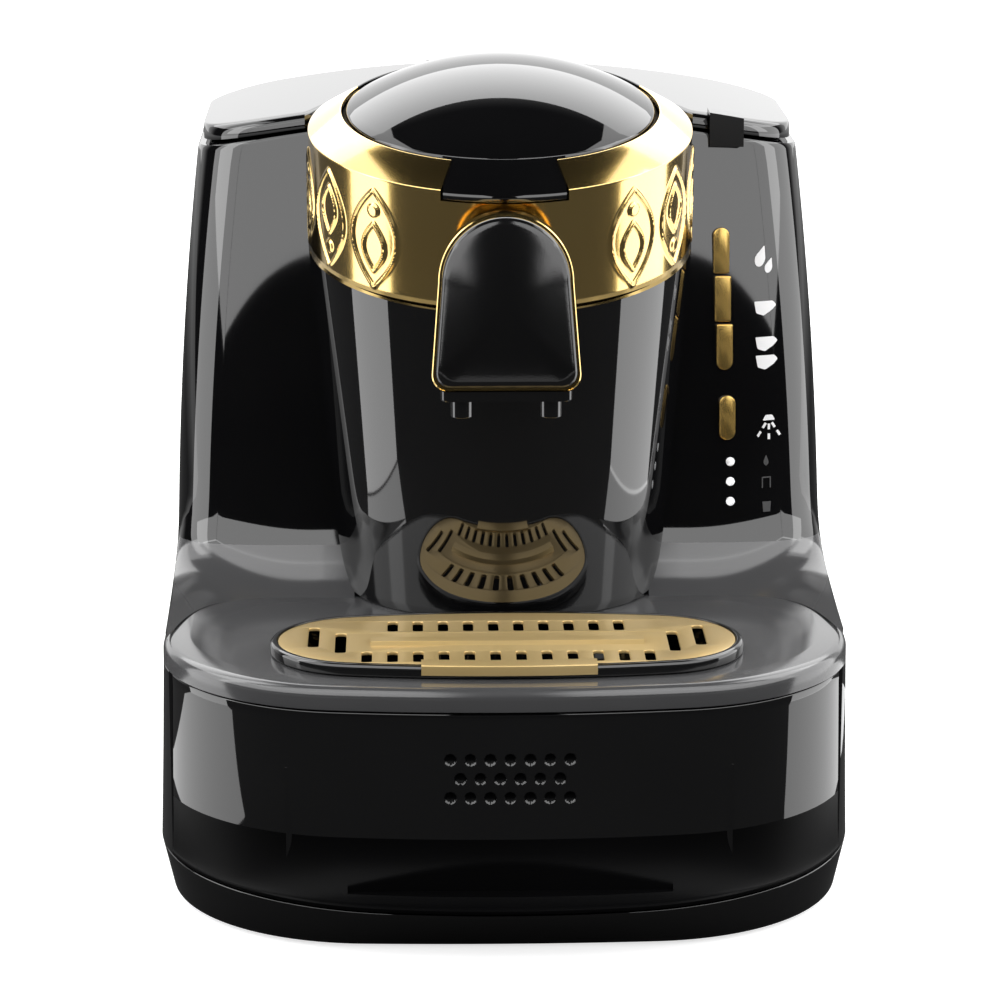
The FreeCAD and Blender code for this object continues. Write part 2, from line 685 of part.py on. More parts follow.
def housing():
    """Rear casing: two lobes beside the column, a partition and the tank's bay."""
    cap_z = CROWN_TOP
    top_gap = LID_COVER + CASING_DROP
    outer = both_sides(lobe_solid(DECK_TOP, cap_z, 0, PARTITION_Y + PARTITION_WALL)).common(crown(-top_gap))
    cavity = both_sides(lobe_solid(DECK_TOP - 0.5, cap_z, WALL, PARTITION_Y))
    cavity = cavity.common(crown(-top_gap - HOUSING_CAP))
    wall_room = head_clearance(0.4 + WALL)
    shell = outer.cut(cavity.cut(wall_room))
    back = box(-LOBE_INNER_X - 1, LOBE_INNER_X + 1, PARTITION_Y, PARTITION_Y + PARTITION_WALL,
               DECK_TOP, cap_z)
    ledge = box(-LOBE_INNER_X - 1, LOBE_INNER_X + 1, 40, PARTITION_Y + 1, 200, cap_z)
    back = back.fuse(ledge.cut(crown(-top_gap - HOUSING_CAP)))
    shell = shell.fuse(back.common(crown(-top_gap)))
    side = LOBE_SIDE_X
    bay_plan = (side, -200.0, 400.0, 56.0)
    bay = solid_of(outline(bay_plan, DECK_TOP, 0, TANK_REAR_Y), V(0, 0, TANK_FLOOR_Z - SLIP - DECK_TOP))
    bay_hollow = solid_of(outline(bay_plan, DECK_TOP - 1, WALL, TANK_REAR_Y),
                          V(0, 0, TANK_FLOOR_Z - SLIP - BAY_FLOOR - DECK_TOP + 1))
    behind = box(-130, 130, PARTITION_Y, 140, 0, 200)
    bay = bay.cut(bay_hollow).common(behind)
    shell = shell.fuse(bay).cut(head_clearance(0.4))
    shell = shell.cut(post(SEAT_RADIUS + 0.1, 0, OUTLET_Y, DECK_TOP - 1, TANK_FLOOR_Z + 1))
    shell = shell.cut(Part.makeCylinder(4.4, 40, V(-80, DELIVERY_Y, DELIVERY_Z), V(1, 0, 0)))
    for name, x, z, height, ends in BUTTONS:
        shell = shell.cut(on_face(x, z, button_prism(height, ends, SLIP - 0.05, -8, 8)))
        half_w = BUTTON_WIDTH / 2 + 1.6
        pocket = box(-half_w, half_w, WALL - 0.1, 12, -height / 2 + 0.5, height / 2 - 0.5)
        shell = shell.cut(on_face(x, z, pocket))
    for z in LAMP_Z:
        drill = Part.makeCylinder(LAMP_RADIUS + 0.05, 16, V(0, -8, 0), V(0, 1, 0))
        shell = shell.cut(on_face(LAMP_X, z, drill))
    return shell


def on_face(x, z, shape):
    """Put a shape on the right lobe's front face, its -Y side outwards."""
    placed = shape.copy()
    lean = math.degrees(math.atan(LOBE_LEAN))
    move = FreeCAD.Placement(V(x, lobe_face_y(x, z), z), FreeCAD.Rotation(V(1, 0, 0), -lean))
    placed.Placement = move.multiply(shape.Placement)
    return placed


def button_prism(height, ends, grow, y0, y1):
    """Upright bar with round or square ends, between two depths."""
    half_w = BUTTON_WIDTH / 2 + grow
    half_h = height / 2 + grow
    bar = box(-half_w, half_w, y0, y1, -half_h, half_h)
    wanted = []
    for edge in bar.Edges:
        centre = edge.BoundBox.Center
        upright = abs(edge.BoundBox.YLength - (y1 - y0)) < 1e-3
        high = centre.z > 0
        if upright and (ends == "both" or (ends == "top" and high) or (ends == "bottom" and not high)):
            wanted.append(edge)
    if not wanted:
        return bar
    return bar.makeFillet(half_w - 0.05, wanted)


def button(x, z, height, ends):
    """Button cap with the flange that keeps it in the housing."""
    cap = button_prism(height, ends, 0, -BUTTON_PROUD - 0.6, WALL + 0.4 + BUTTON_TRAVEL)
    flange = box(-BUTTON_WIDTH / 2 - 1.2, BUTTON_WIDTH / 2 + 1.2, 0, BUTTON_FLANGE,
                 -height / 2 + 1, height / 2 - 1)
    flange.translate(V(0, WALL + 0.4, 0))
    stem = Part.makeCylinder(1.4, BUTTON_DEPTH - BUTTON_FLANGE, V(0, WALL + 0.4 + BUTTON_FLANGE, 0),
                             V(0, 1, 0))
    return on_face(x, z, cap.fuse(flange).fuse(stem))


def control_panel():
    """Buttons, lamps, board, switches and buzzer of the right lobe."""
    for name, x, z, height, ends in BUTTONS:
        keep(name, button(x, z, height, ends))
    guides = []
    for z in LAMP_Z:
        pipe = Part.makeCylinder(LAMP_RADIUS, LAMP_LENGTH, V(0, -0.4, 0), V(0, 1, 0))
        guides.append(on_face(LAMP_X, z, pipe))
    keep("led_guides", Part.makeCompound(guides))
    centre_z = 163.0
    board = box(-8, 15, BOARD_SETBACK, BOARD_SETBACK + BOARD_THICKNESS, -54, 50)
    keep("control_board", on_face(LAMP_X, centre_z, board))
    switches = []
    stem_end = WALL + 0.4 + BUTTON_DEPTH
    for name, x, z, height, ends in BUTTONS:
        body = box(-3, 3, stem_end + BUTTON_TRAVEL + SLIP, BOARD_SETBACK, -3, 3)
        switches.append(on_face(x, z, body))
    keep("button_switches", Part.makeCompound(switches))
    buzzer = Part.makeCylinder(5.5, 5, V(8, BOARD_SETBACK - 5, 0), V(0, 1, 0))
    keep("buzzer", on_face(LAMP_X, 155.0, buzzer))


def head_parts():
    """Ring, head body, hinge cover, lid and brew pot, in the head's own frame."""
    inner = RING_RADIUS - RING_WALL
    drop = 2.4
    ring_profile = [
        (inner, RING_LOW), (RING_RADIUS, RING_LOW), (RING_RADIUS, RING_HIGH),
        (RING_MOUTH_RADIUS, RING_MOUTH_Z),
        (RING_MOUTH_RADIUS, RING_MOUTH_Z - drop),
        (inner, RING_HIGH - drop),
    ]
    start = -90 - RING_SWEEP / 2
    ring = turned(ring_profile, RING_SWEEP, start)
    notch = box(-TONGUE_HALF_WIDTH - 0.8, TONGUE_HALF_WIDTH + 0.8, -80, -40, TONGUE_LOW_Z - 0.8, 60)
    ring = ring.cut(notch).cut(neck_cutter(NECK_RADIUS + 0.3))
    keep("head_ring", in_head(ring))

    rest = 360 - RING_SWEEP - 0.8
    cover_profile = [
        (inner, RING_LOW), (RING_RADIUS, RING_LOW), (RING_RADIUS, RING_HIGH + 1),
        (RING_MOUTH_RADIUS + 3.5, RING_MOUTH_Z + 3.5), (RING_MOUTH_RADIUS + 0.8, RING_MOUTH_Z + 3.5),
        (RING_MOUTH_RADIUS + 0.8, RING_HIGH - 4), (inner, RING_HIGH - 4),
    ]
    cover = turned(cover_profile, rest, 90 - rest / 2)
    swing = Part.makeCylinder(HINGE_SWING, 70, V(-35, HINGE_Y, HINGE_Z), V(1, 0, 0))
    cover = cover.cut(swing.common(box(-90, 90, 0, 90, RING_HIGH - 1, 90)))
    trough = Part.makeCylinder(RING_MOUTH_RADIUS + 1.0, 3.0, V(0, 0, RING_HIGH - 4))
    trough = trough.common(box(-90, 90, LID_CHORD_Y + 0.8, 90, 0, 60))
    cover = cover.fuse(trough)
    for side in (-1, 1):
        x = side * (HINGE_HALF_WIDTH + 4.5)
        ear = box(x - 2, x + 2, HINGE_Y - 3, HINGE_Y + 3, RING_HIGH - 2, HINGE_Z)
        ear = ear.fuse(Part.makeCylinder(3.0, 4, V(x - 2, HINGE_Y, HINGE_Z), V(1, 0, 0)))
        ear = ear.cut(Part.makeCylinder(HINGE_PIN_RADIUS, 10, V(x - 5, HINGE_Y, HINGE_Z), V(1, 0, 0)))
        cover = cover.fuse(ear)
    keep("hinge_cover", before_partition(in_head(cover)))

    pin = Part.makeCylinder(HINGE_PIN_RADIUS, 2 * HINGE_HALF_WIDTH + 13,
                            V(-HINGE_HALF_WIDTH - 6.5, HINGE_Y, HINGE_Z), V(1, 0, 0))
    keep("lid_hinge_pin", in_head(pin))
    lid_parts()
    head_core(inner)


def lid_parts():
    """Domed lid with tongue and knuckle, its liner, gasket and magnet."""
    ball_r = (LID_RADIUS ** 2 + LID_RISE ** 2) / (2 * LID_RISE)
    ball_z = LID_EDGE_Z + LID_RISE - ball_r
    disc = post(LID_RADIUS, 0, 0, LID_EDGE_Z - LID_LIP, 60)
    dome = disc.common(Part.makeSphere(ball_r, V(0, 0, ball_z)))
    ball = Part.makeSphere(ball_r - LID_WALL, V(0, 0, ball_z))
    hollow = post(LID_RADIUS - LID_WALL, 0, 0, 0, 60).common(ball)
    dome = dome.cut(hollow)
    front_only = box(-90, 90, -90, LID_CHORD_Y, -90, 90)
    dome = dome.common(front_only)
    half_chord = math.sqrt((LID_RADIUS - LID_WALL) ** 2 - (LID_CHORD_Y - LID_WALL) ** 2)
    back_wall = box(-half_chord, half_chord, LID_CHORD_Y - LID_WALL, LID_CHORD_Y, LID_EDGE_Z - LID_LIP, 60)
    dome = dome.fuse(back_wall.common(Part.makeSphere(ball_r, V(0, 0, ball_z))))
    slope = (RING_MOUTH_Z - RING_HIGH) / (RING_RADIUS - RING_MOUTH_RADIUS)
    outer_r = RING_RADIUS + 0.8
    tongue_profile = [
        (LID_RADIUS - 1.6, LID_EDGE_Z - LID_LIP), (LID_RADIUS - 1.6, LID_EDGE_Z + 0.6),
        (LID_RADIUS + 1.0, LID_EDGE_Z + 0.6), (outer_r, LID_EDGE_Z - slope * (outer_r - LID_RADIUS) + 0.6),
        (outer_r, TONGUE_LOW_Z), (outer_r - TONGUE_WALL, TONGUE_LOW_Z),
        (outer_r - TONGUE_WALL, LID_EDGE_Z - slope * (outer_r - LID_RADIUS) - 1.6),
    ]
    tongue = turned(tongue_profile, 60, -120)
    tongue = tongue.common(box(-TONGUE_HALF_WIDTH, TONGUE_HALF_WIDTH, -90, 0, 0, 90))
    dome = dome.fuse(tongue)
    knuckle = Part.makeCylinder(HINGE_KNUCKLE_RADIUS, 2 * HINGE_HALF_WIDTH,
                                V(-HINGE_HALF_WIDTH, HINGE_Y, HINGE_Z), V(1, 0, 0))
    web = box(-HINGE_HALF_WIDTH, HINGE_HALF_WIDTH, LID_CHORD_Y - 1, HINGE_Y, HINGE_Z - 0.3, HINGE_Z + 2.4)
    knuckle = knuckle.fuse(web)
    bore = Part.makeCylinder(HINGE_PIN_RADIUS + 0.08, 60, V(-30, HINGE_Y, HINGE_Z), V(1, 0, 0))
    dome = dome.fuse(knuckle).cut(bore)
    keep("lid_dome", in_head(dome))

    liner = post(LID_RADIUS - LID_WALL - 0.1, 0, 0, LID_EDGE_Z - LID_LIP, LID_EDGE_Z - LID_LIP + 1.6)
    liner = liner.common(Part.makeSphere(ball_r - LID_WALL - 0.15, V(0, 0, ball_z)))
    liner = liner.common(box(-90, 90, -90, LID_CHORD_Y - LID_WALL - 0.1, -90, 90))
    keep("lid_liner", in_head(liner))
    gasket_top = LID_EDGE_Z - LID_LIP
    gasket = tube(POT_RADIUS + 4.0, POT_RADIUS + 1.0, 0, 0, gasket_top - 0.7, gasket_top)
    keep("lid_gasket", in_head(gasket))
    magnet = box(-3, 3, -41, -37, LID_EDGE_Z - LID_LIP + 1.6, LID_EDGE_Z - LID_LIP + 3.2)
    keep("lid_magnet", in_head(magnet))


def head_core(inner):
    """Head body with the brew pot, heater, thermostat and sensors."""
    top = LID_EDGE_Z - LID_LIP - 1.0
    skirt = inner - 0.1
    body = tube(skirt, skirt - 2.2, 0, 0, HEAD_FLOOR_Z, RING_HIGH - 4.6)
    body = body.fuse(tube(skirt, POT_RADIUS + 0.4, 0, 0, HEAD_FLOOR_Z, HEAD_FLOOR_Z + 2.2))
    body = body.fuse(tube(RING_MOUTH_RADIUS - 0.3, POT_RADIUS + 0.4, 0, 0, top - 2.2, top))
    collar = tube(RING_MOUTH_RADIUS - 0.3, RING_MOUTH_RADIUS - 2.5, 0, 0, RING_HIGH - 7.0, top)
    brace = tube(skirt, RING_MOUTH_RADIUS - 2.5, 0, 0, RING_HIGH - 7.0, RING_HIGH - 4.8)
    body = body.fuse(collar).fuse(brace)
    body = body.cut(box(-90, 90, LID_CHORD_Y + 0.4, 90, RING_HIGH - 4.3, 90))
    body = body.cut(neck_cutter(NECK_RADIUS + 0.3))
    body = body.cut(post(POT_RADIUS + 3.6, 0, 0, top - 0.8, top + 1))
    body = body.cut(box(-TONGUE_HALF_WIDTH - 0.8, TONGUE_HALF_WIDTH + 0.8, -90, -46, top - 2.2, top + 1))
    spray = spray_inlet()
    pipe_hole = post(3.4, spray.x, spray.y, DELIVERY_Z, spray.z)
    keep("head_body", before_partition(in_head(body).cut(pipe_hole)))

    pot = post(POT_RADIUS, 0, 0, POT_FLOOR_Z, POT_RIM_Z).cut(
        post(POT_RADIUS - POT_WALL, 0, 0, POT_FLOOR_Z + POT_WALL, POT_RIM_Z + 1))
    flange = tube(POT_RADIUS + 3.4, POT_RADIUS - POT_WALL, 0, 0, top - 0.8, top)
    lip = tube(POT_RADIUS, POT_RADIUS - POT_WALL, 0, 0, POT_RIM_Z - 1, top)
    pot = pot.fuse(flange).fuse(lip)
    pot = pot.cut(Part.makeCylinder(3.0, 12, V(0, -22, POT_FLOOR_Z - 2), V(0, 0, 1)))
    keep("brew_pot", in_head(pot))
    heater = tube(POT_RADIUS - 4, 10, 0, 4, POT_FLOOR_Z - 4, POT_FLOOR_Z)
    heater = heater.cut(post(7, 0, -22, POT_FLOOR_Z - 5, POT_FLOOR_Z + 1))
    keep("heater_disc", in_head(heater))
    keep("thermostat", in_head(post(7, 0, 4, POT_FLOOR_Z - 9, POT_FLOOR_Z)))
    keep("lid_sensor", in_head(box(-5, 5, -49, -44, top - 2.2 - 5, top - 2.2)))
    spray = post(3.4, -44, 10, top - 9, top - 2.2).cut(post(1.2, -44, 10, top - 10, top - 5))
    keep("spray_nozzle", in_head(spray))


def spray_inlet():
    """Where the delivery pipe meets the spray nozzle."""
    return placed_in_head(-44, 10, LID_EDGE_Z - LID_LIP - 10.6)


def shield_wire(grow, y):
    """Front outline of the spout: round arch above sides that spread to the foot."""
    radius = SHIELD_ARCH_RADIUS + grow
    centre_z = SHIELD_TOP_Z - SHIELD_ARCH_RADIUS
    half = SHIELD_HALF_WIDTH + grow
    low = SHIELD_BOTTOM_Z - grow
    bend = SHIELD_CORNER
    nip = bend * (1 - math.sqrt(0.5))
    return Part.Wire([
        arc(V(-radius, y, centre_z), V(0, y, centre_z + radius), V(radius, y, centre_z)),
        line(V(radius, y, centre_z), V(half, y, low + bend)),
        arc(V(half, y, low + bend), V(half - nip, y, low + nip), V(half - bend, y, low)),
        line(V(half - bend, y, low), V(bend - half, y, low)),
        arc(V(bend - half, y, low), V(nip - half, y, low + nip), V(-half, y, low + bend)),
        line(V(-half, y, low + bend), V(-radius, y, centre_z)),
    ])


def leaning_front():
    """Everything behind the leaning front face of the spout."""
    return solid_of(polygon([
        V(-60, SHIELD_FRONT_LOW_Y, SHIELD_BOTTOM_Z), V(-60, SHIELD_FRONT_TOP_Y, SHIELD_TOP_Z),
        V(-60, SHIELD_FRONT_TOP_Y + 4, SHIELD_TOP_Z + 24), V(-60, 60, SHIELD_TOP_Z + 24),
        V(-60, 60, 140), V(-60, SHIELD_FRONT_LOW_Y, 140)]), V(120, 0, 0))


def spout():
    """Neck, shield, gold edge, nozzle block and the channel inside them."""
    neck = Part.makeCylinder(NECK_RADIUS, NECK_REACH - 56, V(0, -56, NECK_Z), V(0, -1, 0))
    bore = Part.makeCylinder(NECK_RADIUS - NECK_WALL, NECK_REACH, V(0, -50, NECK_Z), V(0, -1, 0))
    keep("spout_neck", in_head(neck.cut(bore)).common(box(-60, 60, SHIELD_BACK_Y, 60, 0, 300)))

    shield = solid_of(shield_wire(0, SHIELD_BACK_Y), V(0, -24, 0)).common(leaning_front())
    hollow = solid_of(shield_wire(-WALL, SHIELD_BACK_Y + 1), V(0, -24, 0))
    behind_front = leaning_front()
    behind_front.translate(V(0, WALL, 0))
    shield = shield.cut(hollow.common(behind_front))
    keep("spout_shield", shield)

    trim = solid_of(shield_wire(TRIM_WIDTH, SHIELD_BACK_Y), V(0, -7, 0))
    keep("spout_trim", trim.cut(solid_of(shield_wire(0.08, SHIELD_BACK_Y + 1), V(0, -20, 0))))

    plate_top = SHIELD_BOTTOM_Z - TRIM_WIDTH
    plate_low = plate_top - NOZZLE_PLATE
    block = box(-21, 21, SHIELD_FRONT_LOW_Y + 2.4, SHIELD_BACK_Y - 0.4, plate_low, plate_top)
    for side in (-1, 1):
        block = block.fuse(post(NOZZLE_RADIUS, side * NOZZLE_X, NOZZLE_Y, NOZZLE_TIP_Z, plate_low + 1))
    for side in (-1, 1):
        block = block.cut(post(NOZZLE_BORE, side * NOZZLE_X, NOZZLE_Y, NOZZLE_TIP_Z - 1, plate_top + 1))
    keep("nozzle_block", block)


def tank_plan(z, inset):
    """Plan section of the water tank: straight front, sides that lean in, round rear corners."""
    half = LOBE_SIDE_X - LOBE_SIDE_CURVE * (z - DECK_TOP) ** 2 - 0.1 - inset
    front = TANK_FRONT_Y + inset
    rear = TANK_REAR_Y - inset
    bend = REAR_CORNER - inset
    nip = bend * (1 - math.sqrt(0.5))
    return Part.Wire([
        line(V(-half, front, z), V(half, front, z)),
        line(V(half, front, z), V(half, rear - bend, z)),
        arc(V(half, rear - bend, z), V(half - nip, rear - nip, z), V(half - bend, rear, z)),
        line(V(half - bend, rear, z), V(bend - half, rear, z)),
        arc(V(bend - half, rear, z), V(nip - half, rear - nip, z), V(-half, rear - bend, z)),
        line(V(-half, rear - bend, z), V(-half, front, z)),
    ])


def tank_loft(z0, z1, inset):
    """Stacked sections of the water tank."""
    heights = [z0, 130.0, 165.0, 205.0, z1]
    return Part.makeLoft([tank_plan(z, inset) for z in heights], True, True)


def tank_parts():
    """Water tank, its top cover, the hinge pin, tab and outlet valve."""
    shell = tank_loft(TANK_FLOOR_Z, 249.0, 0).common(crown(-LID_COVER - 0.4))
    shell = shell.cut(tank_loft(TANK_FLOOR_Z + TANK_WALL, 260.0, TANK_WALL))
    spigot = tube(SPIGOT_RADIUS, SPIGOT_RADIUS - 2, 0, OUTLET_Y, TANK_FLOOR_Z - 6, TANK_FLOOR_Z + 1)
    shell = shell.fuse(spigot)
    shell = shell.cut(post(SPIGOT_RADIUS - 2, 0, OUTLET_Y, TANK_FLOOR_Z - 1, TANK_FLOOR_Z + TANK_WALL + 1))
    cross = box(-SPIGOT_RADIUS + 1, SPIGOT_RADIUS - 1, OUTLET_Y - 1, OUTLET_Y + 1,
                TANK_FLOOR_Z - 1, TANK_FLOOR_Z + 1)
    shell = shell.fuse(cross).cut(post(1.6, 0, OUTLET_Y, TANK_FLOOR_Z - 3, TANK_FLOOR_Z + 4))
    for side in (-1, 1):
        x = side * COVER_ARM_X
        ear = box(x - 9, x + 9, COVER_PIN_Y - 3.4, COVER_PIN_Y + COVER_KNUCKLE_RADIUS,
                  COVER_PIN_Z - 4, COVER_PIN_Z + 4)
        notch = box(x - COVER_ARM_HALF - 0.4, x + COVER_ARM_HALF + 0.4, COVER_PIN_Y - 4, COVER_PIN_Y + 4,
                    COVER_PIN_Z - COVER_KNUCKLE_RADIUS - 0.4, 260)
        shell = shell.fuse(ear).cut(notch)
        drill = Part.makeCylinder(COVER_PIN_RADIUS, 17, V(x - 8.5, COVER_PIN_Y, COVER_PIN_Z), V(1, 0, 0))
        shell = shell.cut(drill)
    keep("water_tank", shell)
    pins = []
    for side in (-1, 1):
        start = V(side * COVER_ARM_X - 8.5, COVER_PIN_Y, COVER_PIN_Z)
        pins.append(Part.makeCylinder(COVER_PIN_RADIUS, 17, start,
                                      V(1, 0, 0)))
    keep("tank_lid_pins", Part.makeCompound(pins))
    tank_cover()
    outlet_valve()


def tank_cover():
    """Top cover of tank and lobes, open round the head, with its tab."""
    lobes = both_sides(lobe_solid(225.0, 262.0, 0, PARTITION_Y + 10))
    rear = tank_slab(230.0, 262.0)
    plan = lobes.fuse(rear).fuse(box(-LOBE_INNER_X - 1, LOBE_INNER_X + 1, 40, TANK_FRONT_Y + 1, 230, 262))
    cover = plan.common(crown(0)).cut(crown(-LID_COVER))
    cover = cover.cut(head_clearance(COVER_HEAD_GAP))
    for side in (-1, 1):
        x = side * COVER_ARM_X
        knuckle = Part.makeCylinder(COVER_KNUCKLE_RADIUS, 2 * COVER_ARM_HALF,
                                    V(x - COVER_ARM_HALF, COVER_PIN_Y, COVER_PIN_Z), V(1, 0, 0))
        arm = box(x - COVER_ARM_HALF, x + COVER_ARM_HALF, COVER_PIN_Y - 2.4, TANK_REAR_Y,
                  COVER_PIN_Z, CROWN_TOP - LID_COVER)
        bore = Part.makeCylinder(COVER_PIN_RADIUS + 0.08, 20, V(x - 10, COVER_PIN_Y, COVER_PIN_Z), V(1, 0, 0))
        cover = cover.fuse(knuckle).fuse(arm).cut(bore)
    x0, x1 = TAB_X
    middle = (x0 + x1) / 2
    face_y = lobe_face_y(middle, 243.0)
    blank = box(x0, x1, face_y - 3.4, face_y + 9, 236.4, 262).common(crown(1.3))
    taken = plan.common(crown(0)).common(box(0, 120, 0, 140, 0, 300))
    body = blank.cut(taken)
    taken.translate(V(0, -0.06, 0.06))
    body = body.cut(taken)
    keep_out = both_sides(lobe_solid(200.0, 250.0, -0.5, PARTITION_Y)).common(crown(-LID_COVER + 0.1))
    keep("tank_lid_tab", body.cut(keep_out))
    keep("tank_lid", cover)


def tank_slab(z0, z1):
    """Upper end of the water tank's plan, for the cover."""
    return Part.makeLoft([tank_plan(z0, 0), tank_plan(z1, 0)], True, True)


def outlet_valve():
    """Seat under the tank, and the poppet and spring in the tank's outlet."""
    seat_low = DECK_TOP - 4
    seat_high = TANK_FLOOR_Z - SLIP
    seat = post(SEAT_RADIUS, 0, OUTLET_Y, seat_low, seat_high)
    seat = seat.cut(post(SPIGOT_RADIUS + 0.4, 0, OUTLET_Y, TANK_FLOOR_Z - 7, seat_high + 1))
    seat = seat.cut(post(2.4, 0, OUTLET_Y, seat_low - 8, seat_high))
    seat = seat.fuse(tube(3.8, 2.4, 0, OUTLET_Y, seat_low - 7, seat_low))
    peg = tube(3.6, 2.4, 0, OUTLET_Y, TANK_FLOOR_Z - 7.1, TANK_FLOOR_Z - 5.6)
    keep("tank_valve_seat", seat.fuse(peg))
    stem = post(1.5, 0, OUTLET_Y, TANK_FLOOR_Z - 5.4, TANK_FLOOR_Z + 9)
    disc = post(4.6, 0, OUTLET_Y, TANK_FLOOR_Z - 5.4, TANK_FLOOR_Z - 4.0)
    stop = post(3.2, 0, OUTLET_Y, TANK_FLOOR_Z + 7.5, TANK_FLOOR_Z + 9)
    keep("tank_valve_poppet", stem.fuse(disc).fuse(stop))
    keep("tank_valve_spring", coil(2.6, 0.35, TANK_FLOOR_Z + 1.4, TANK_FLOOR_Z + 7.4, 4, 0, OUTLET_Y))


def coil(radius, wire_radius, z0, z1, turns, x, y):
    """Round-wire compression spring about an upright axis."""
    height = (z1 - z0) - 2 * wire_radius
    helix = Part.makeHelix(height / turns, height, radius)
    start = V(radius, 0, 0)
    ring = Part.Wire(Part.makeCircle(wire_radius, start, V(0, 1, 0)))
    spring = Part.Wire(helix.Edges).makePipeShell([ring], True, True)
    spring.translate(V(x, y, z0 + wire_radius))
    return spring


def brew_valve():
    """Valve under the pot, its plunger, spring, coil and the channel to the nozzles."""
    low = POT_FLOOR_Z - 12
    block = box(-9, 9, -31, -13, low, POT_FLOOR_Z)
    bore = post(3.2, 0, -22, low - 1, POT_FLOOR_Z + 1)
    block = block.cut(bore)
    outlet = Part.makeCylinder(2.6, 20, V(0, -22, POT_FLOOR_Z - 4), V(0, -1, 0))
    block = block.cut(outlet)
    block = block.cut(tube(POT_RADIUS, 6.8, 0, -22, POT_FLOOR_Z - 4.2, POT_FLOOR_Z + 1).common(
        post(POT_RADIUS - 3.8, 0, 4, POT_FLOOR_Z - 4.2, POT_FLOOR_Z + 1)))
    keep("brew_valve_body", in_head(block))
    plunger = post(3.12, 0, -22, POT_FLOOR_Z - 1.4, POT_FLOOR_Z - 0.2)
    plunger = plunger.fuse(post(1.2, 0, -22, low - 6, POT_FLOOR_Z - 1.0))
    keep("brew_valve_plunger", in_head(plunger))
    keep("brew_valve_spring", in_head(coil(2.2, 0.35, low + 0.2, POT_FLOOR_Z - 1.6, 5, 0, -22)))
    solenoid = tube(11, 3.0, 0, -22, low - 26, low)
    keep("valve_solenoid", in_head(solenoid))


def placed_in_head(x, y, z):
    """A point of the head's frame in the machine's frame."""
    turn = FreeCAD.Rotation(V(1, 0, 0), HEAD_TILT)
    return turn.multVec(V(x, y, z)) + V(0, COLUMN_Y, HEAD_Z)


def plumbing():
    """Pump with its bracket, and the pipes between tank, pump, pot and drawer."""
    pump_low = DECK_TOP + 14
    body = post(14, PUMP_X, PUMP_Y, pump_low, pump_low + 56)
    body = body.fuse(post(4, PUMP_X, PUMP_Y, pump_low - 6, pump_low)).fuse(
        post(4, PUMP_X, PUMP_Y, pump_low + 56, pump_low + 62))
    keep("pump", body)
    bracket = box(PUMP_X - 17, PUMP_X + 17, PUMP_Y - 17, PUMP_Y + 17, pump_low - 3, pump_low)
    bracket = bracket.cut(post(4.2, PUMP_X, PUMP_Y, pump_low - 4, pump_low + 1))
    for side in (-1, 1):
        y = PUMP_Y + side * 14
        bracket = bracket.fuse(box(PUMP_X - 17, PUMP_X + 17, y - 1.5, y + 1.5, DECK_TOP, pump_low - 2))
    keep("pump_bracket", bracket)
    radius = 3.2
    seat_low = DECK_TOP - 11
    route = [V(0, OUTLET_Y, seat_low), V(0, OUTLET_Y, 58), V(PUMP_X + 30, OUTLET_Y, 58),
             V(PUMP_X, PUMP_Y, 58), V(PUMP_X, PUMP_Y, pump_low - 6)]
    keep("suction_pipe", pipe(route, radius, 12))
    spray = spray_inlet()
    route = [V(PUMP_X, PUMP_Y, pump_low + 62), V(PUMP_X, PUMP_Y, DELIVERY_Z),
             V(PUMP_X + 14, DELIVERY_Y, DELIVERY_Z),
             V(spray.x, DELIVERY_Y, DELIVERY_Z), V(spray.x, spray.y, DELIVERY_Z + 12), spray]
    keep("delivery_pipe", pipe(route, 2.6, 5))
    drain_top = placed_in_head(0, -22, POT_FLOOR_Z - 38.8)
    route = [drain_top, V(0, drain_top.y, 120), V(DRAIN_X, DRAIN_Y, 108), V(DRAIN_X, DRAIN_Y, 74)]
    keep("drain_pipe", pipe(route, 3.2, 12))
    low = placed_in_head(0, -31, POT_FLOOR_Z - 4)
    keep("spout_channel", spout_channel(low))


def spout_channel(start):
    """Steel channel from the valve through the neck, forked to the two nozzles."""
    z = 190.0
    run = pipe([start, V(0, -54, start.z - (start.y + 54) * 0.19), V(0, NOZZLE_Y, z)], 2.4, 4)
    bar = Part.makeCylinder(2.4, 2 * NOZZLE_X, V(-NOZZLE_X, NOZZLE_Y, z), V(1, 0, 0))
    channel = run.fuse(bar)
    for side in (-1, 1):
        x = side * NOZZLE_X
        channel = channel.fuse(post(2.4, x, NOZZLE_Y, SHIELD_BOTTOM_Z + WALL + 0.1, z))
        channel = channel.fuse(Part.makeSphere(2.4, V(x, NOZZLE_Y, z)))
    return channel


def power_parts():
    """Power board, transformer and cord gland in the base."""
    board = box(-54, 54, 42, 108, BOARD_FLOOR_Z, BOARD_FLOOR_Z + BOARD_THICKNESS)
    keep("power_board", board)
    top = BOARD_FLOOR_Z + BOARD_THICKNESS
    keep("power_transformer", box(-44, -14, 60, 90, top, top + 16))
    relay = box(8, 26, 56, 68, top, top + 14)
    relay = relay.fuse(box(30, 44, 56, 68, top, top + 14))
    keep("power_relays", relay)
    start = REAR_Y + 0.5 - GLAND_LENGTH
    gland = Part.makeCylinder(GLAND_BORE + 3.2, GLAND_LENGTH, V(GLAND_X, start, GLAND_Z), V(0, 1, 0))
    flange = Part.makeCylinder(GLAND_BORE + 5.6, 3, V(GLAND_X, start + 7.4, GLAND_Z), V(0, 1, 0))
    gland = gland.fuse(flange)
    gland = gland.cut(Part.makeCylinder(GLAND_BORE, 60, V(GLAND_X, REAR_Y - 40, GLAND_Z), V(0, 1, 0)))
    keep("cord_gland", gland)


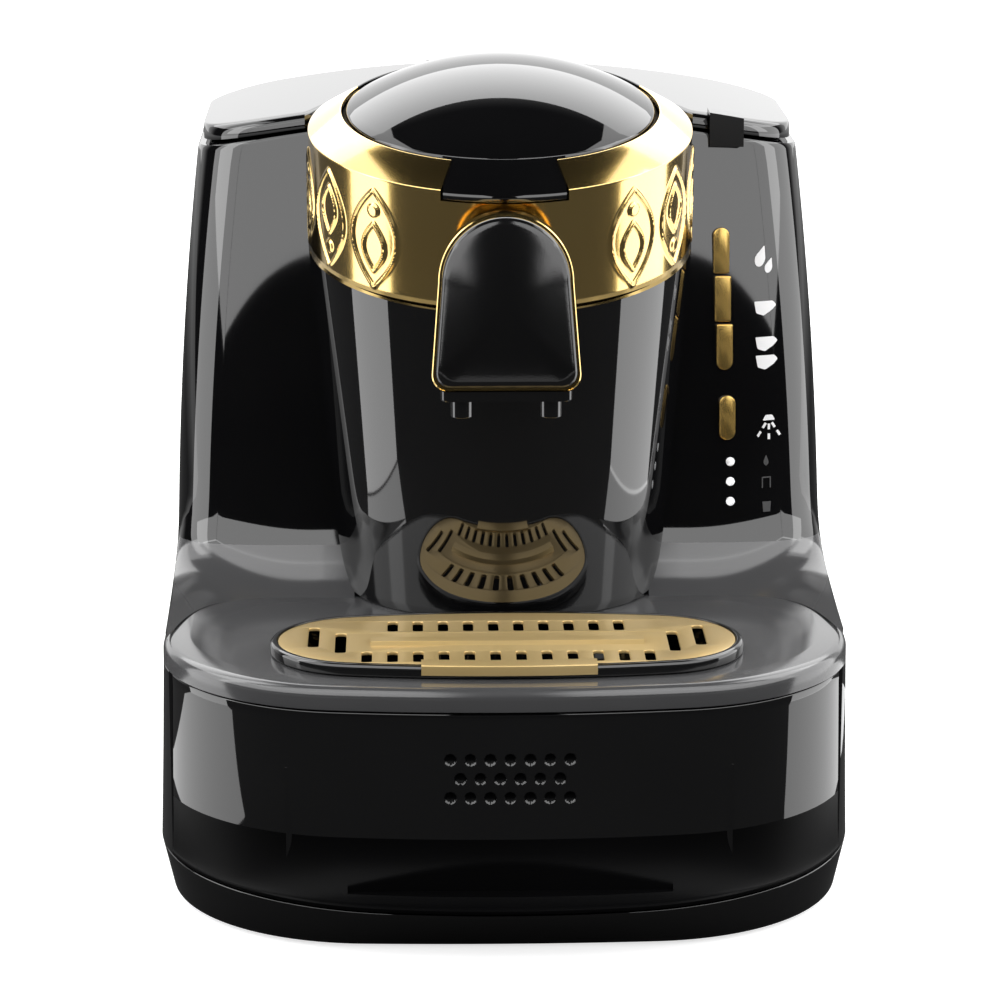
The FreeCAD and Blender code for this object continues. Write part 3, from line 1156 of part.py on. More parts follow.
def build():
    """Make every sub-part."""
    keep("base_pan", base_pan())
    keep("rubber_feet", rubber_feet())
    keep("base_screws", base_screws())
    keep("base_shell", base_shell())
    keep("deck", deck())
    keep("drawer_fascia", drawer_fascia())
    keep("waste_tank", waste_tank())
    keep("drip_tray", drip_tray())
    keep("drip_grille", drip_grille())
    keep("column_shell", column_shell())
    keep("housing", housing())
    control_panel()
    head_parts()
    spout()
    tank_parts()
    brew_valve()
    plumbing()
    power_parts()


def export():
    """Write one STEP file per sub-part."""
    os.makedirs("parts", exist_ok=True)
    for name, shape in MODELS.items():
        state = "ok" if shape.isValid() else "NOT VALID"
        box_ = shape.BoundBox
        print(name, len(shape.Solids), state, round(shape.Volume / 1000, 2), "cm3",
              [round(v, 1) for v in (box_.XMin, box_.XMax, box_.YMin, box_.YMax, box_.ZMin, box_.ZMax)])
        shape.exportStep("parts/" + name + ".step")


build()
export()
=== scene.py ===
"""Looks of an electric Turkish coffee maker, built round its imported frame.

Sizes are in millimetres until a mesh is written, which is in metres. X runs to the
right, Y to the back and Z up. Shapes are worked out with numpy on grids.
"""

import logging
import math
from dataclasses import dataclass, field
from enum import Enum
from typing import Optional, Sequence

import bmesh
import bpy
import numpy as np
from mathutils import Matrix, Vector


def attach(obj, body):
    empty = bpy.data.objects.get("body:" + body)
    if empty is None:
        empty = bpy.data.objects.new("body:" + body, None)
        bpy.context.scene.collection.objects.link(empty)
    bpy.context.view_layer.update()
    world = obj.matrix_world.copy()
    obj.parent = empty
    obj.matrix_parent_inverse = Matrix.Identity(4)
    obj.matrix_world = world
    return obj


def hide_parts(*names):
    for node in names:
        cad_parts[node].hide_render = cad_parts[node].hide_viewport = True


LOG = logging.getLogger("coffee_maker")
MM = 0.001
FRONT_ANGLE = -90.0    # degrees, where the front of a round part is
MERGE_GAP = 0.002      # millimetres between vertices that are one
SHARP_ANGLE = 32.0     # degrees, edges above it stay sharp
COAT_ROUGHNESS = 0.03
BUMP_HEIGHT = 0.0004   # metres
BRUSH_STRETCH = (1.0, 1.0, 30.0)


class Grain(Enum):
    """Fine surface structure of a finish."""

    POLISH = "polish"
    SATIN = "satin"
    BRUSHED = "brushed"
    BOARD = "board"


def fill_inputs(tree: bpy.types.NodeTree, node: bpy.types.Node, values: dict[str, object]) -> None:
    """Give a node's inputs their constants, or link them to their source sockets.

    Args:
        tree: Node tree of the material or world.
        node: The node.
        values: Constant or source of each input, by the input's name.
    """
    for name, value in values.items():
        if isinstance(value, bpy.types.NodeSocket):
            tree.links.new(value, node.inputs[name])
        else:
            node.inputs[name].default_value = value


def add_node(tree: bpy.types.NodeTree, kind: str, values: dict[str, object]) -> bpy.types.Node:
    """Add a shader node and fill its inputs.

    Args:
        tree: Node tree that gets it.
        kind: Kind of node.
        values: Constant or source of each input, by the input's name.

    Returns:
        The node.
    """
    node = tree.nodes.new(kind)
    fill_inputs(tree, node, values)
    return node


@dataclass(frozen=True)
class Finish:
    """A finish of the machine, made into a procedural material."""

    name: str
    slot: str
    colour: tuple[float, float, float]
    tint: tuple[float, float, float]
    roughness: float
    grain: Grain = Grain.SATIN
    scale: float = 900.0
    relief: float = 0.02
    metallic: float = 0.0
    ior: float = 1.5
    coat: float = 0.0
    clear: float = 0.0
    glow: float = 0.0

    def material(self) -> bpy.types.Material:
        """Make the material, or find it if it is there already.

        Returns:
            The material with its noise-driven colour, roughness and relief.
        """
        found = bpy.data.materials.get(self.name)
        if found:
            return found
        made = bpy.data.materials.new(self.name)
        made.use_nodes = True
        made.diffuse_color = (*self.colour, 1.0)
        tree = made.node_tree
        shader = tree.nodes["Principled BSDF"]
        fill_inputs(tree, shader, {
            "Metallic": self.metallic, "IOR": self.ior, "Transmission Weight": self.clear,
            "Coat Weight": self.coat, "Coat Roughness": COAT_ROUGHNESS,
            "Emission Strength": self.glow, "Emission Color": (*self.colour, 1.0)})
        place = tree.nodes.new("ShaderNodeTexCoord")
        stretch = add_node(tree, "ShaderNodeMapping", {"Vector": place.outputs["Object"]})
        if self.grain is Grain.BRUSHED:
            stretch.inputs["Scale"].default_value = BRUSH_STRETCH
        self._colour(tree, stretch, shader)
        self._surface(tree, stretch, shader)
        return made

    def _noise(self, tree: bpy.types.NodeTree, source: bpy.types.Node, scale: float,
               detail: float) -> bpy.types.Node:
        """Add a noise texture on object coordinates.

        Args:
            tree: Node tree that gets it.
            source: Mapping node with the coordinates.
            scale: Noise scale, in cells per metre.
            detail: Number of octaves.

        Returns:
            The noise node.
        """
        return add_node(tree, "ShaderNodeTexNoise", {
            "Vector": source.outputs["Vector"], "Scale": scale, "Detail": detail})

    def _colour(self, tree: bpy.types.NodeTree, source: bpy.types.Node, shader: bpy.types.Node) -> None:
        """Drive the base colour between the finish's colour and its tint.

        Args:
            tree: Node tree of the material.
            source: Mapping node with the coordinates.
            shader: Principled node.
        """
        cells = 60.0 if self.grain is Grain.BOARD else 22.0
        noise = self._noise(tree, source, cells, 3.0)
        ramp = add_node(tree, "ShaderNodeValToRGB", {"Fac": noise.outputs["Fac"]})
        for stop, place, tone in zip(ramp.color_ramp.elements, (0.35, 0.65), (self.colour, self.tint)):
            stop.position = place
            stop.color = (*tone, 1.0)
        tree.links.new(ramp.outputs["Color"], shader.inputs["Base Color"])

    def _surface(self, tree: bpy.types.NodeTree, source: bpy.types.Node, shader: bpy.types.Node) -> None:
        """Drive roughness and fine relief from noise.

        Args:
            tree: Node tree of the material.
            source: Mapping node with the coordinates.
            shader: Principled node.
        """
        smudge = self._noise(tree, source, 14.0, 2.0)
        spread = add_node(tree, "ShaderNodeMapRange", {
            "Value": smudge.outputs["Fac"], "To Min": self.roughness * 0.8, "To Max": self.roughness * 1.25})
        fine = self._noise(tree, source, self.scale, 2.0)
        bump = add_node(tree, "ShaderNodeBump", {
            "Height": fine.outputs["Fac"], "Strength": self.relief, "Distance": BUMP_HEIGHT})
        fill_inputs(tree, shader, {"Roughness": spread.outputs["Result"], "Normal": bump.outputs["Normal"]})


GLOSS = Finish("gloss_black_plastic", "gloss_black", (0.0022, 0.0022, 0.0025), (0.003, 0.003, 0.0033), 0.03,
               Grain.POLISH, 60.0, 0.004, ior=1.75)
SPOUT_BLACK = Finish("spout_black_plastic", "gloss_black", (0.004, 0.004, 0.0042), (0.005, 0.005, 0.0052),
                     0.09, Grain.SATIN, 2500.0, 0.03, ior=1.7)
SATIN = Finish("satin_black_plastic", "satin_black", (0.012, 0.012, 0.012), (0.018, 0.018, 0.018), 0.42,
               Grain.SATIN, 2200.0, 0.12)
GOLD = Finish("polished_gold", "gold", (0.90, 0.62, 0.20), (0.93, 0.66, 0.23), 0.11,
              Grain.POLISH, 80.0, 0.004, metallic=1.0, coat=1.0)
GOLD_BAND = Finish("gold_band", "gold", (0.90, 0.62, 0.20), (0.93, 0.66, 0.23), 0.13,
                   Grain.POLISH, 2600.0, 0.02, metallic=1.0, coat=1.0)
GOLD_PLATE = Finish("satin_gold", "gold", (0.80, 0.58, 0.25), (0.84, 0.62, 0.29), 0.30,
                    Grain.SATIN, 2600.0, 0.02, metallic=0.65)
KEY_GOLD = Finish("key_gold", "gold", (0.80, 0.53, 0.16), (0.83, 0.57, 0.19), 0.22,
                  Grain.POLISH, 80.0, 0.004, metallic=1.0)
SMOKED = Finish("smoked_clear_plastic", "smoked_clear", (0.05, 0.05, 0.052), (0.06, 0.06, 0.062), 0.06,
                Grain.POLISH, 60.0, 0.004, clear=0.75)
# Painted shade: a darker, duller, less reflective black that darkens the fascia's dimples and its flare.
PAINTED_SHADE = Finish("painted_shade_plastic", "gloss_black", (0.0015, 0.0015, 0.0016), (0.002, 0.002, 0.0022),
                    0.4, Grain.SATIN, 1800.0, 0.02, ior=1.15)
# Painted sheen: a dark grey in place of black, standing in for reflected light on the deck and the lobes'
# feet.
PAINTED_SHEEN = Finish("painted_sheen_plastic", "gloss_black", (0.060, 0.060, 0.062), (0.066, 0.066, 0.068), 0.14,
                    Grain.POLISH, 60.0, 0.004, ior=1.75)
RUBBER = Finish("black_rubber", "rubber_black", (0.018, 0.018, 0.018), (0.028, 0.028, 0.027), 0.75,
                Grain.SATIN, 1600.0, 0.2)
SILICONE = Finish("milky_silicone", "silicone_clear", (0.55, 0.55, 0.52), (0.62, 0.62, 0.59), 0.35,
                  Grain.SATIN, 600.0, 0.05)
STEEL = Finish("brushed_steel", "steel", (0.52, 0.52, 0.53), (0.6, 0.6, 0.61), 0.27,
               Grain.BRUSHED, 700.0, 0.08, metallic=1.0)
BOARD = Finish("circuit_board", "board_green", (0.01, 0.10, 0.035), (0.015, 0.14, 0.05), 0.4,
               Grain.BOARD, 900.0, 0.1)
LAMP = Finish("white_lamp", "lamp_white", (0.85, 0.86, 0.88), (0.9, 0.9, 0.92), 0.3,
              Grain.SATIN, 900.0, 0.02, glow=0.25)
PRINT = Finish("white_print", "lamp_white", (0.72, 0.72, 0.73), (0.78, 0.78, 0.79), 0.4,
               Grain.SATIN, 900.0, 0.02)
FAINT_PRINT = Finish("faint_print", "part_grey", (0.035, 0.035, 0.036), (0.045, 0.045, 0.046), 0.4,
                     Grain.SATIN, 900.0, 0.02)
GREY = Finish("moulded_grey", "part_grey", (0.16, 0.16, 0.165), (0.2, 0.2, 0.205), 0.5,
              Grain.SATIN, 1500.0, 0.12)
WINDING = Finish("varnished_winding", "copper", (0.36, 0.13, 0.045), (0.46, 0.18, 0.06), 0.35,
                 Grain.BRUSHED, 500.0, 0.2, coat=0.5)


@dataclass
class Shape:
    """Vertices in millimetres and faces of a piece under construction."""

    points: list[np.ndarray] = field(default_factory=list)
    faces: list[list[int]] = field(default_factory=list)
    count: int = 0

    def add(self, points: np.ndarray, faces: Sequence[Sequence[int]]) -> "Shape":
        """Append vertices and the faces between them.

        Args:
            points: Vertices, one row each.
            faces: Vertex numbers, counted from the first new vertex.

        Returns:
            The shape itself.
        """
        flat = np.asarray(points, dtype=float).reshape(-1, 3)
        shifted = np.asarray(faces) + self.count
        self.faces.extend(shifted.tolist())
        self.points.append(flat)
        self.count += len(flat)
        return self

    def grid(self, points: np.ndarray, wrap_rows: bool = False, wrap_columns: bool = False) -> "Shape":
        """Append a grid of quads, each between neighbouring rows and columns.

        Args:
            points: Array of rows x columns x 3.
            wrap_rows: Join the last row to the first.
            wrap_columns: Join the last column to the first.

        Returns:
            The shape itself.
        """
        rows, columns = points.shape[:2]
        number = np.arange(rows * columns).reshape(rows, columns)
        if wrap_rows:
            number = np.vstack([number, number[:1]])
        if wrap_columns:
            number = np.hstack([number, number[:, :1]])
        quads = np.stack([number[:-1, :-1], number[:-1, 1:], number[1:, 1:], number[1:, :-1]], axis=-1)
        return self.add(points, quads.reshape(-1, 4))

    def cap(self, loop: np.ndarray) -> "Shape":
        """Append one flat face that closes a loop.

        Args:
            loop: Points round the opening.

        Returns:
            The shape itself.
        """
        return self.add(loop, [list(range(len(loop)))])

    def loft(self, levels: np.ndarray, closed: bool = True, caps: bool = True) -> "Shape":
        """Append the skin over stacked outlines.

        Args:
            levels: Array of levels x points x 3.
            closed: Whether each outline is a closed loop.
            caps: Whether the first and the last outline are closed with a face.

        Returns:
            The shape itself.
        """
        self.grid(levels, wrap_columns=closed)
        if caps:
            self.cap(levels[0]).cap(levels[-1])
        return self

    def sweep(self, sections: np.ndarray, ends: bool = True) -> "Shape":
        """Append a bar whose closed section is carried along a path.

        Args:
            sections: Array of section points x stations x 3.
            ends: Whether the first and the last station are closed with a face.

        Returns:
            The shape itself.
        """
        self.grid(sections, wrap_rows=True, wrap_columns=not ends)
        if ends:
            self.cap(sections[:, 0]).cap(sections[:, -1])
        return self

    def block(self, low: Sequence[float], high: Sequence[float]) -> "Shape":
        """Append a plain block between two corners.

        Args:
            low: Lowest corner.
            high: Highest corner.

        Returns:
            The shape itself.
        """
        (x0, y0, z0), (x1, y1, z1) = low, high
        square = np.array([(x0, y0), (x1, y0), (x1, y1), (x0, y1)])
        return self.loft(np.stack([level(square, z0), level(square, z1)]))

    def twins(self, low: Sequence[float], high: Sequence[float]) -> "Shape":
        """Append a plain block on the right and its mirror image on the left.

        Args:
            low: Lowest corner of the right one.
            high: Highest corner of the right one.

        Returns:
            The shape itself.
        """
        for side in (-1, 1):
            left, right = sorted((side * low[0], side * high[0]))
            self.block((left, *low[1:]), (right, *high[1:]))
        return self

    def post(self, radius: float, x: float, y: float, z0: float, z1: float) -> "Shape":
        """Append an upright round post.

        Args:
            radius: Its radius.
            x: Place across.
            y: Place in depth.
            z0: Lower end.
            z1: Upper end.

        Returns:
            The shape itself.
        """
        turn = np.linspace(0, 2 * np.pi, 32, endpoint=False)
        ring = np.stack([x + radius * np.cos(turn), y + radius * np.sin(turn)], axis=-1)
        return self.loft(np.stack([level(ring, z0), level(ring, z1)]))

    def write(self, name: str, finish: Finish, body: str, stands_for: Sequence[str] = (),
              place: Optional[Matrix] = None, bevel: float = 0.0) -> bpy.types.Object:
        """Put the shape into the scene as a finished piece.

        Args:
            name: Name of the piece.
            finish: Its finish.
            body: Body of the frame that it rides on.
            stands_for: Nodes of the frame that it replaces.
            place: Matrix from the shape's own frame to the machine's, in millimetres.
            bevel: Width of rounded edges, in millimetres.

        Returns:
            The new object.
        """
        mesh = bpy.data.meshes.new(name)
        mesh.from_pydata(np.concatenate(self.points).tolist(), [], self.faces)
        if place is not None:
            mesh.transform(place)
        mesh.transform(Matrix.Scale(MM, 4))
        clean(mesh)
        piece = enter(name, mesh)
        if bevel:
            edge = piece.modifiers.new("edges", "BEVEL")
            edge.width = bevel * MM
            edge.segments = 2
            edge.limit_method = "ANGLE"
            edge.angle_limit = math.radians(SHARP_ANGLE)
            edge.harden_normals = False
        return dress(piece, finish, body, stands_for)


def enter(name: str, data: bpy.types.ID) -> bpy.types.Object:
    """Put a mesh, a light or the camera into the scene as an object.

    Args:
        name: Name of the object.
        data: What it shows.

    Returns:
        The new object.
    """
    made = bpy.data.objects.new(name, data)
    bpy.context.scene.collection.objects.link(made)
    return made


def clean(mesh: bpy.types.Mesh, turn_out: bool = True) -> None:
    """Merge doubled vertices, turn faces outwards and shade smooth between sharp edges.

    Args:
        mesh: Mesh in metres.
        turn_out: Whether the faces are turned, which those of the frame don't need.
    """
    work = bmesh.new()
    work.from_mesh(mesh)
    bmesh.ops.remove_doubles(work, verts=work.verts, dist=MERGE_GAP * MM)
    if turn_out:
        bmesh.ops.recalc_face_normals(work, faces=work.faces)
    work.to_mesh(mesh)
    work.free()
    mesh.shade_smooth()
    mesh.set_sharp_from_angle(angle=math.radians(SHARP_ANGLE))


def dress(piece: bpy.types.Object, finish: Finish, body: str,
          stands_for: Sequence[str] = ()) -> bpy.types.Object:
    """Give a piece its finish, its body and the nodes that it stands for.

    Args:
        piece: The piece.
        finish: Its finish.
        body: Body that it rides on.
        stands_for: Nodes that it replaces.

    Returns:
        The piece.
    """
    piece.data.materials.clear()
    piece.data.materials.append(finish.material())
    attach(piece, body)
    if stands_for:
        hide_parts(*stands_for)
    LOG.info("%s: %d faces on %s", piece.name, len(piece.data.polygons), body)
    return piece


def face_centres(piece: bpy.types.Object) -> np.ndarray:
    """Centres of a piece's faces.

    Args:
        piece: The piece.

    Returns:
        Points x 3, in millimetres.
    """
    centres = np.zeros(3 * len(piece.data.polygons))
    piece.data.polygons.foreach_get("center", centres)
    return centres.reshape(-1, 3) / MM


def paint_faces(piece: bpy.types.Object, finish: Finish, chosen: np.ndarray) -> None:
    """Give some faces of a piece a second finish.

    Args:
        piece: The piece, which has one finish.
        finish: The second one.
        chosen: Whether each face gets it.
    """
    piece.data.materials.append(finish.material())
    piece.data.polygons.foreach_set("material_index", chosen.astype(np.int32))


def level(outline: np.ndarray, height: float) -> np.ndarray:
    """Give a plan outline its height.

    Args:
        outline: Points x 2.
        height: Height, one number or one per point.

    Returns:
        Points x 3.
    """
    return np.column_stack([outline, np.broadcast_to(height, len(outline))])


def fillet(corners: Sequence[tuple[float, float, float]], closed: bool = True, steps: int = 5) -> np.ndarray:
    """Round the corners of a section.

    Each corner becomes a circular arc that is tangent to both of its sides: it
    starts radius x tan(half the turn) before the corner and ends as far after it.

    Args:
        corners: Each corner's two coordinates and its radius.
        closed: Whether the last corner joins the first.
        steps: Pieces of each arc.

    Returns:
        Points x 2.
    """
    spots = np.array([corner[:2] for corner in corners], dtype=float)
    out: list[np.ndarray] = []
    for index, (x, y, radius) in enumerate(corners):
        here = np.array([x, y])
        at_end = not closed and index in (0, len(corners) - 1)
        if radius <= 0 or at_end:
            out.append(here[None])
            continue
        back = spots[index - 1] - here
        ahead = spots[(index + 1) % len(spots)] - here
        back /= np.linalg.norm(back)
        ahead /= np.linalg.norm(ahead)
        half = math.acos(float(np.clip(back @ ahead, -1, 1))) / 2
        middle = (back + ahead) / np.linalg.norm(back + ahead)
        centre = here + middle * radius / math.sin(half)
        first = here + back * radius / math.tan(half) - centre
        last = here + ahead * radius / math.tan(half) - centre
        share = np.linspace(0, 1, steps + 1)[:, None]
        swing = math.acos(float(np.clip(first @ last / radius ** 2, -1, 1)))
        mixed = (np.sin((1 - share) * swing) * first + np.sin(share * swing) * last) / math.sin(swing)
        out.append(centre + mixed)
    return np.concatenate(out)


def arc(cx: float, cy: float, radius: float, start: float, end: float, count: int) -> np.ndarray:
    """Points along a circular arc, without its last one.

    Args:
        cx: Centre across.
        cy: Centre in depth.
        radius: Radius.
        start: First angle, in radians.
        end: Last angle.
        count: Number of points.

    Returns:
        Points x 2.
    """
    turn = np.linspace(start, end, count, endpoint=False)
    return np.stack([cx + radius * np.cos(turn), cy + radius * np.sin(turn)], axis=-1)


def straight(a: Sequence[float], b: Sequence[float], count: int) -> np.ndarray:
    """Points along a straight line, without its last one."""
    share = np.linspace(0, 1, count, endpoint=False)[:, None]
    return np.asarray(a) * (1 - share) + np.asarray(b) * share


def distances(path: np.ndarray) -> np.ndarray:
    """Distance along a path from its start to each of its points.

    Args:
        path: Points x 2 or x 3.

    Returns:
        One distance per point.
    """
    return np.concatenate([[0.0], np.cumsum(np.linalg.norm(np.diff(path, axis=0), axis=1))])


def resample(path: np.ndarray, share: np.ndarray) -> np.ndarray:
    """Points at given shares of a path's length.

    Args:
        path: Points x 3.
        share: Shares from 0 to 1.

    Returns:
        Points x 3.
    """
    along = distances(path)
    wanted = share * along[-1]
    return np.stack([np.interp(wanted, along, path[:, axis]) for axis in range(3)], axis=-1)


def extrude(section: np.ndarray, across: np.ndarray, depth: np.ndarray | float = 0.0) -> np.ndarray:
    """Carry a section of (depth, height) from left to right.

    Args:
        section: Points x 2.
        across: Places of the stations.
        depth: What is added to the section's depth, one number or one per station.

    Returns:
        Array of section points x stations x 3.
    """
    size = (len(section), len(across))
    return np.stack([np.broadcast_to(across, size), np.broadcast_to(section[:, :1] + depth, size),
                     np.broadcast_to(section[:, 1:], size)], axis=-1)


def revolve(section: np.ndarray, degrees: np.ndarray) -> np.ndarray:
    """Turn a section of (radius, height) about the Z axis.

    Args:
        section: Points x 2.
        degrees: Angles of the stations.

    Returns:
        Array of section points x stations x 3.
    """
    turn = np.radians(degrees)
    radius = section[:, :1]
    height = np.broadcast_to(section[:, 1:], (len(section), len(turn)))
    return np.stack([radius * np.cos(turn), radius * np.sin(turn), height], axis=-1)


@dataclass(frozen=True)
class Plan:
    """Plan outline: shallow front arc, corner arcs, straight sides, round rear corners."""

    half: float
    front: float
    front_radius: float
    corner_radius: float
    rear: float = 133.0
    rear_radius: float = 26.0

    def inset(self, gap: float) -> "Plan":
        """The outline drawn in by a gap on all sides."""
        return Plan(self.half - gap, self.front + gap, self.front_radius - gap, self.corner_radius - gap,
                    self.rear - gap, self.rear_radius - gap)

    def mix(self, other: "Plan", share: float) -> "Plan":
        """The outline part of the way to another one."""
        mine = np.array([self.half, self.front, self.front_radius, self.corner_radius])
        theirs = np.array([other.half, other.front, other.front_radius, other.corner_radius])
        return Plan(*(mine + (theirs - mine) * share).tolist(), self.rear, self.rear_radius)

    def loop(self, fine: int = 1) -> np.ndarray:
        """Points round the outline from the left end of the front arc, to the right first.

        Args:
            fine: How many times as many points as usual.

        Returns:
            Points x 2.
        """
        centre = self.front + self.front_radius
        cx = self.half - self.corner_radius
        cy = centre - math.sqrt((self.front_radius - self.corner_radius) ** 2 - cx ** 2)
        lean = math.atan2(cy - centre, cx)
        rx = self.half - self.rear_radius
        ry = self.rear - self.rear_radius
        quarter = math.pi / 2
        return np.concatenate([
            arc(0, centre, self.front_radius, -math.pi - lean, lean, 40 * fine),
            arc(cx, cy, self.corner_radius, lean, 0, 36 * fine),
            straight((self.half, cy), (self.half, ry), 14 * fine),
            arc(rx, ry, self.rear_radius, 0, quarter, 16 * fine),
            straight((rx, self.rear), (-rx, self.rear), 14 * fine),
            arc(-rx, ry, self.rear_radius, quarter, 2 * quarter, 16 * fine),
            straight((-self.half, ry), (-self.half, cy), 14 * fine),
            arc(-cx, cy, self.corner_radius, math.pi, math.pi - lean, 36 * fine),
        ])

    def run(self, depth: float, count: int, behind: bool) -> np.ndarray:
        """Evenly spaced stretch of the outline behind or before a depth.

        Args:
            depth: Where the outline is cut.
            count: Number of points.
            behind: Whether the stretch behind the cut is wanted.

        Returns:
            Points x 2, from right to left behind the cut and from left to right before it.
        """
        loop = self.loop(16)
        start = np.argmin(loop[:, 1]) if behind else np.argmax(loop[:, 1])
        loop = np.roll(loop, -int(start), axis=0)
        keep = loop[:, 1] >= depth if behind else loop[:, 1] <= depth
        part = loop[keep]
        along = distances(part)
        wanted = np.linspace(0, along[-1], count)
        return np.stack([np.interp(wanted, along, part[:, 0]), np.interp(wanted, along, part[:, 1])], axis=-1)


CHIN_LOW = Plan(110.0, -115.7, 900.0, 66.0)
LEDGE = Plan(115.0, -133.5, 250.0, 90.0)
FASCIA_FOOT = Plan(113.0, -120.0, 400.0, 68.0)
FASCIA_HEAD = Plan(111.8, -120.5, 400.0, 65.0)
LIP = Plan(112.3, -121.5, 400.0, 65.0)


def copy_of(node: str, name: str, finish: Finish, body: str) -> bpy.types.Object:
    """Stand a smooth-shaded copy of a node's mesh in for it.

    Args:
        node: Node of the frame.
        name: Name of the new piece.
        finish: Its finish.
        body: Body that it rides on.

    Returns:
        The new piece.
    """
    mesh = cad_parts[node].data.copy()
    mesh.name = name
    clean(mesh, turn_out=False)
    return dress(enter(name, mesh), finish, body, [node])


@dataclass
class Base:
    """Pan, walls, deck and drawer front of the machine's foot."""

    cut_depth: float = -71.5       # where the drawer front meets the side walls
    seam: float = 0.6
    chin_low: float = 1.2
    chin_high: float = 17.0
    wall_high: float = 80.1
    deck_high: float = 88.3
    flare_low: float = 19.2
    flare_high: float = 38.0
    fascia_low: float = 17.6
    fascia_high: float = 79.5
    fascia_lug: tuple[tuple[float, ...], ...] = ((61.0, -112.5, 26.0), (71.0, -103.5, 60.0))
    grip_half: float = 51.5
    grip_low: float = 21.4
    grip_high: float = 33.0
    grip_back: float = -121.1
    dimple_radius: float = 2.2
    dimple_pitch: float = 6.28
    dimple_step: float = 0.36
    dimple_rows: tuple[tuple[int, float], ...] = ((7, 64.4), (6, 58.1), (7, 51.8))
    boss_place: float = 99.0
    boss_depths: tuple[float, ...] = (-52.0, 30.0, 100.0)
    boss_radius: float = 5.0
    boss_tall: float = 14.0
    web_long: float = 12.0         # from a boss to the wall
    web_half: float = 2.0
    floor_high: float = 2.5        # where what stands on the pan's floor begins
    rail: tuple[float, float] = (57.0, 63.0)
    rail_depth: tuple[float, float] = (-96.0, 20.0)
    rail_high: float = 19.7
    board_post: tuple[float, float] = (48.0, 30.0)    # place across and height
    board_post_depths: tuple[float, ...] = (48.0, 102.0)
    bulkhead_half: float = 109.0
    bulkhead_depth: tuple[float, float] = (22.0, 24.5)
    basin_floor: float = 78.5
    basin_under: float = 76.9

    def pan(self) -> None:
        """Make the pan: a dish whose outside widens from the chin's foot to the ledge."""
        wide = LEDGE.inset(0.5)
        rise = self.chin_high - self.chin_low
        section = fillet([(6.0, 0.0, 0), (0.0, 0.0, 1.6), (0.0, rise, 0.5), (2.6, rise, 0.3), (2.6, 2.4, 0.5),
                          (8.0, 2.4, 0)], closed=False)
        rows = []
        for gap, height in section.tolist():
            plan = CHIN_LOW.mix(wide, height / rise).inset(gap)
            rows.append(level(plan.loop(), self.chin_low + height))
        shape = Shape().loft(np.stack(rows))
        floor = self.floor_high
        (inner, outer), (near, far) = self.rail, self.rail_depth
        shape.twins((inner, near, floor), (outer, far, self.rail_high))
        for side in (-1, 1):
            for depth in self.board_post_depths:
                shape.post(4, side * self.board_post[0], depth, floor, self.board_post[1])
            for depth in self.boss_depths:
                shape.post(self.boss_radius, side * self.boss_place, depth, floor, self.chin_high)
        shape.write("pan", GLOSS, "machine", ["base_pan"])

    def walls(self) -> None:
        """Make the side and back walls, with the bulkhead and the screw bosses."""
        low = self.chin_high
        rise = self.wall_high - low
        foot = LEDGE.inset(0.4)
        section = fillet([(0, 0, 0.5), (0, rise, 0.3), (2.5, rise, 0.2), (2.5, 0, 0.2)])
        rows = []
        for gap, height in section.tolist():
            run = foot.mix(LIP, height / rise).inset(gap).run(self.cut_depth, 300, True)
            rows.append(level(run, low + height))
        shape = Shape().sweep(np.stack(rows))
        near, far = self.bulkhead_depth
        shape.block((-self.bulkhead_half, near, low), (self.bulkhead_half, far, self.wall_high))
        place, web, high = self.boss_place, self.web_half, low + self.boss_tall
        for depth in self.boss_depths:
            for side in (-1, 1):
                shape.post(self.boss_radius, side * place, depth, low, high)
            shape.twins((place, depth - web, low), (place + self.web_long, depth + web, high))
        shape.write("walls", GLOSS, "machine", ["base_shell"])

    def deck(self, tray: "Tray") -> None:
        """Make the deck: rounded lip, nearly level top and the tray's basin.

        Args:
            tray: The tray, whose oval the basin follows.
        """
        top = self.deck_high
        low = self.wall_high
        lip = fillet([(2.5, low, 0.3), (0, low, 0.3), (0, top - 0.9, 3.6), (9, top - 0.25, 14),
                      (19, top, 0)], closed=False, steps=7)
        outer = LIP.loop()
        rows = [level(LIP.inset(gap).loop(), z) for gap, z in lip.tolist()]
        floor, under = self.basin_floor, self.basin_under
        basin = [(3.6, top), (4.0, top - 0.4), (4.0, floor), (20.0, floor), (20.0, under), (2.4, under),
                 (2.4, top - 3)]
        rows += [level(tray.facing(outer, gap), z) for gap, z in basin]
        rows += [level(LIP.inset(2.5).loop(), top - 3)]
        shape = Shape().grid(np.stack(rows), wrap_rows=True, wrap_columns=True)
        # Painted sheen: the whole deck is dark grey in place of the light that its black gloss reflects.
        shape.write("deck_top", PAINTED_SHEEN, "machine", ["deck"])

    def fascia(self) -> None:
        """Make the drawer front: wall, flare to the ledge, finger grip and rows of dimples."""
        heights, gaps = self._fascia_rows()
        columns = self._fascia_columns()
        outer = np.stack([self._fascia_run(z, gap, columns) for z, gap in zip(heights, gaps)])
        outer[..., 1] += self._dimple_depth(outer[..., 0], outer[..., 2])
        in_grip = (abs(outer[..., 0]) < self.grip_half) & (outer[..., 2] > self.grip_low) & (
            outer[..., 2] < self.grip_high)
        outer[..., 1] = np.where(in_grip, np.maximum(outer[..., 1], self.grip_back), outer[..., 1])
        inner = np.stack([self._fascia_run(z, 3.2, columns, FASCIA_HEAD)
                          for z in (self.fascia_high, 50.0, self.fascia_low)])
        shape = Shape().sweep(np.concatenate([outer, inner])).twins(*self.fascia_lug)
        piece = shape.write("drawer_front", GLOSS, "drawer", ["drawer_fascia"])
        x, _, z = face_centres(piece).T
        # Painted shade: the flare at the foot and the deep part of each dimple get the darker, duller black.
        paint_faces(piece, PAINTED_SHADE, (z < self.flare_high) | (self._dimple_depth(x, z) > 0.5))

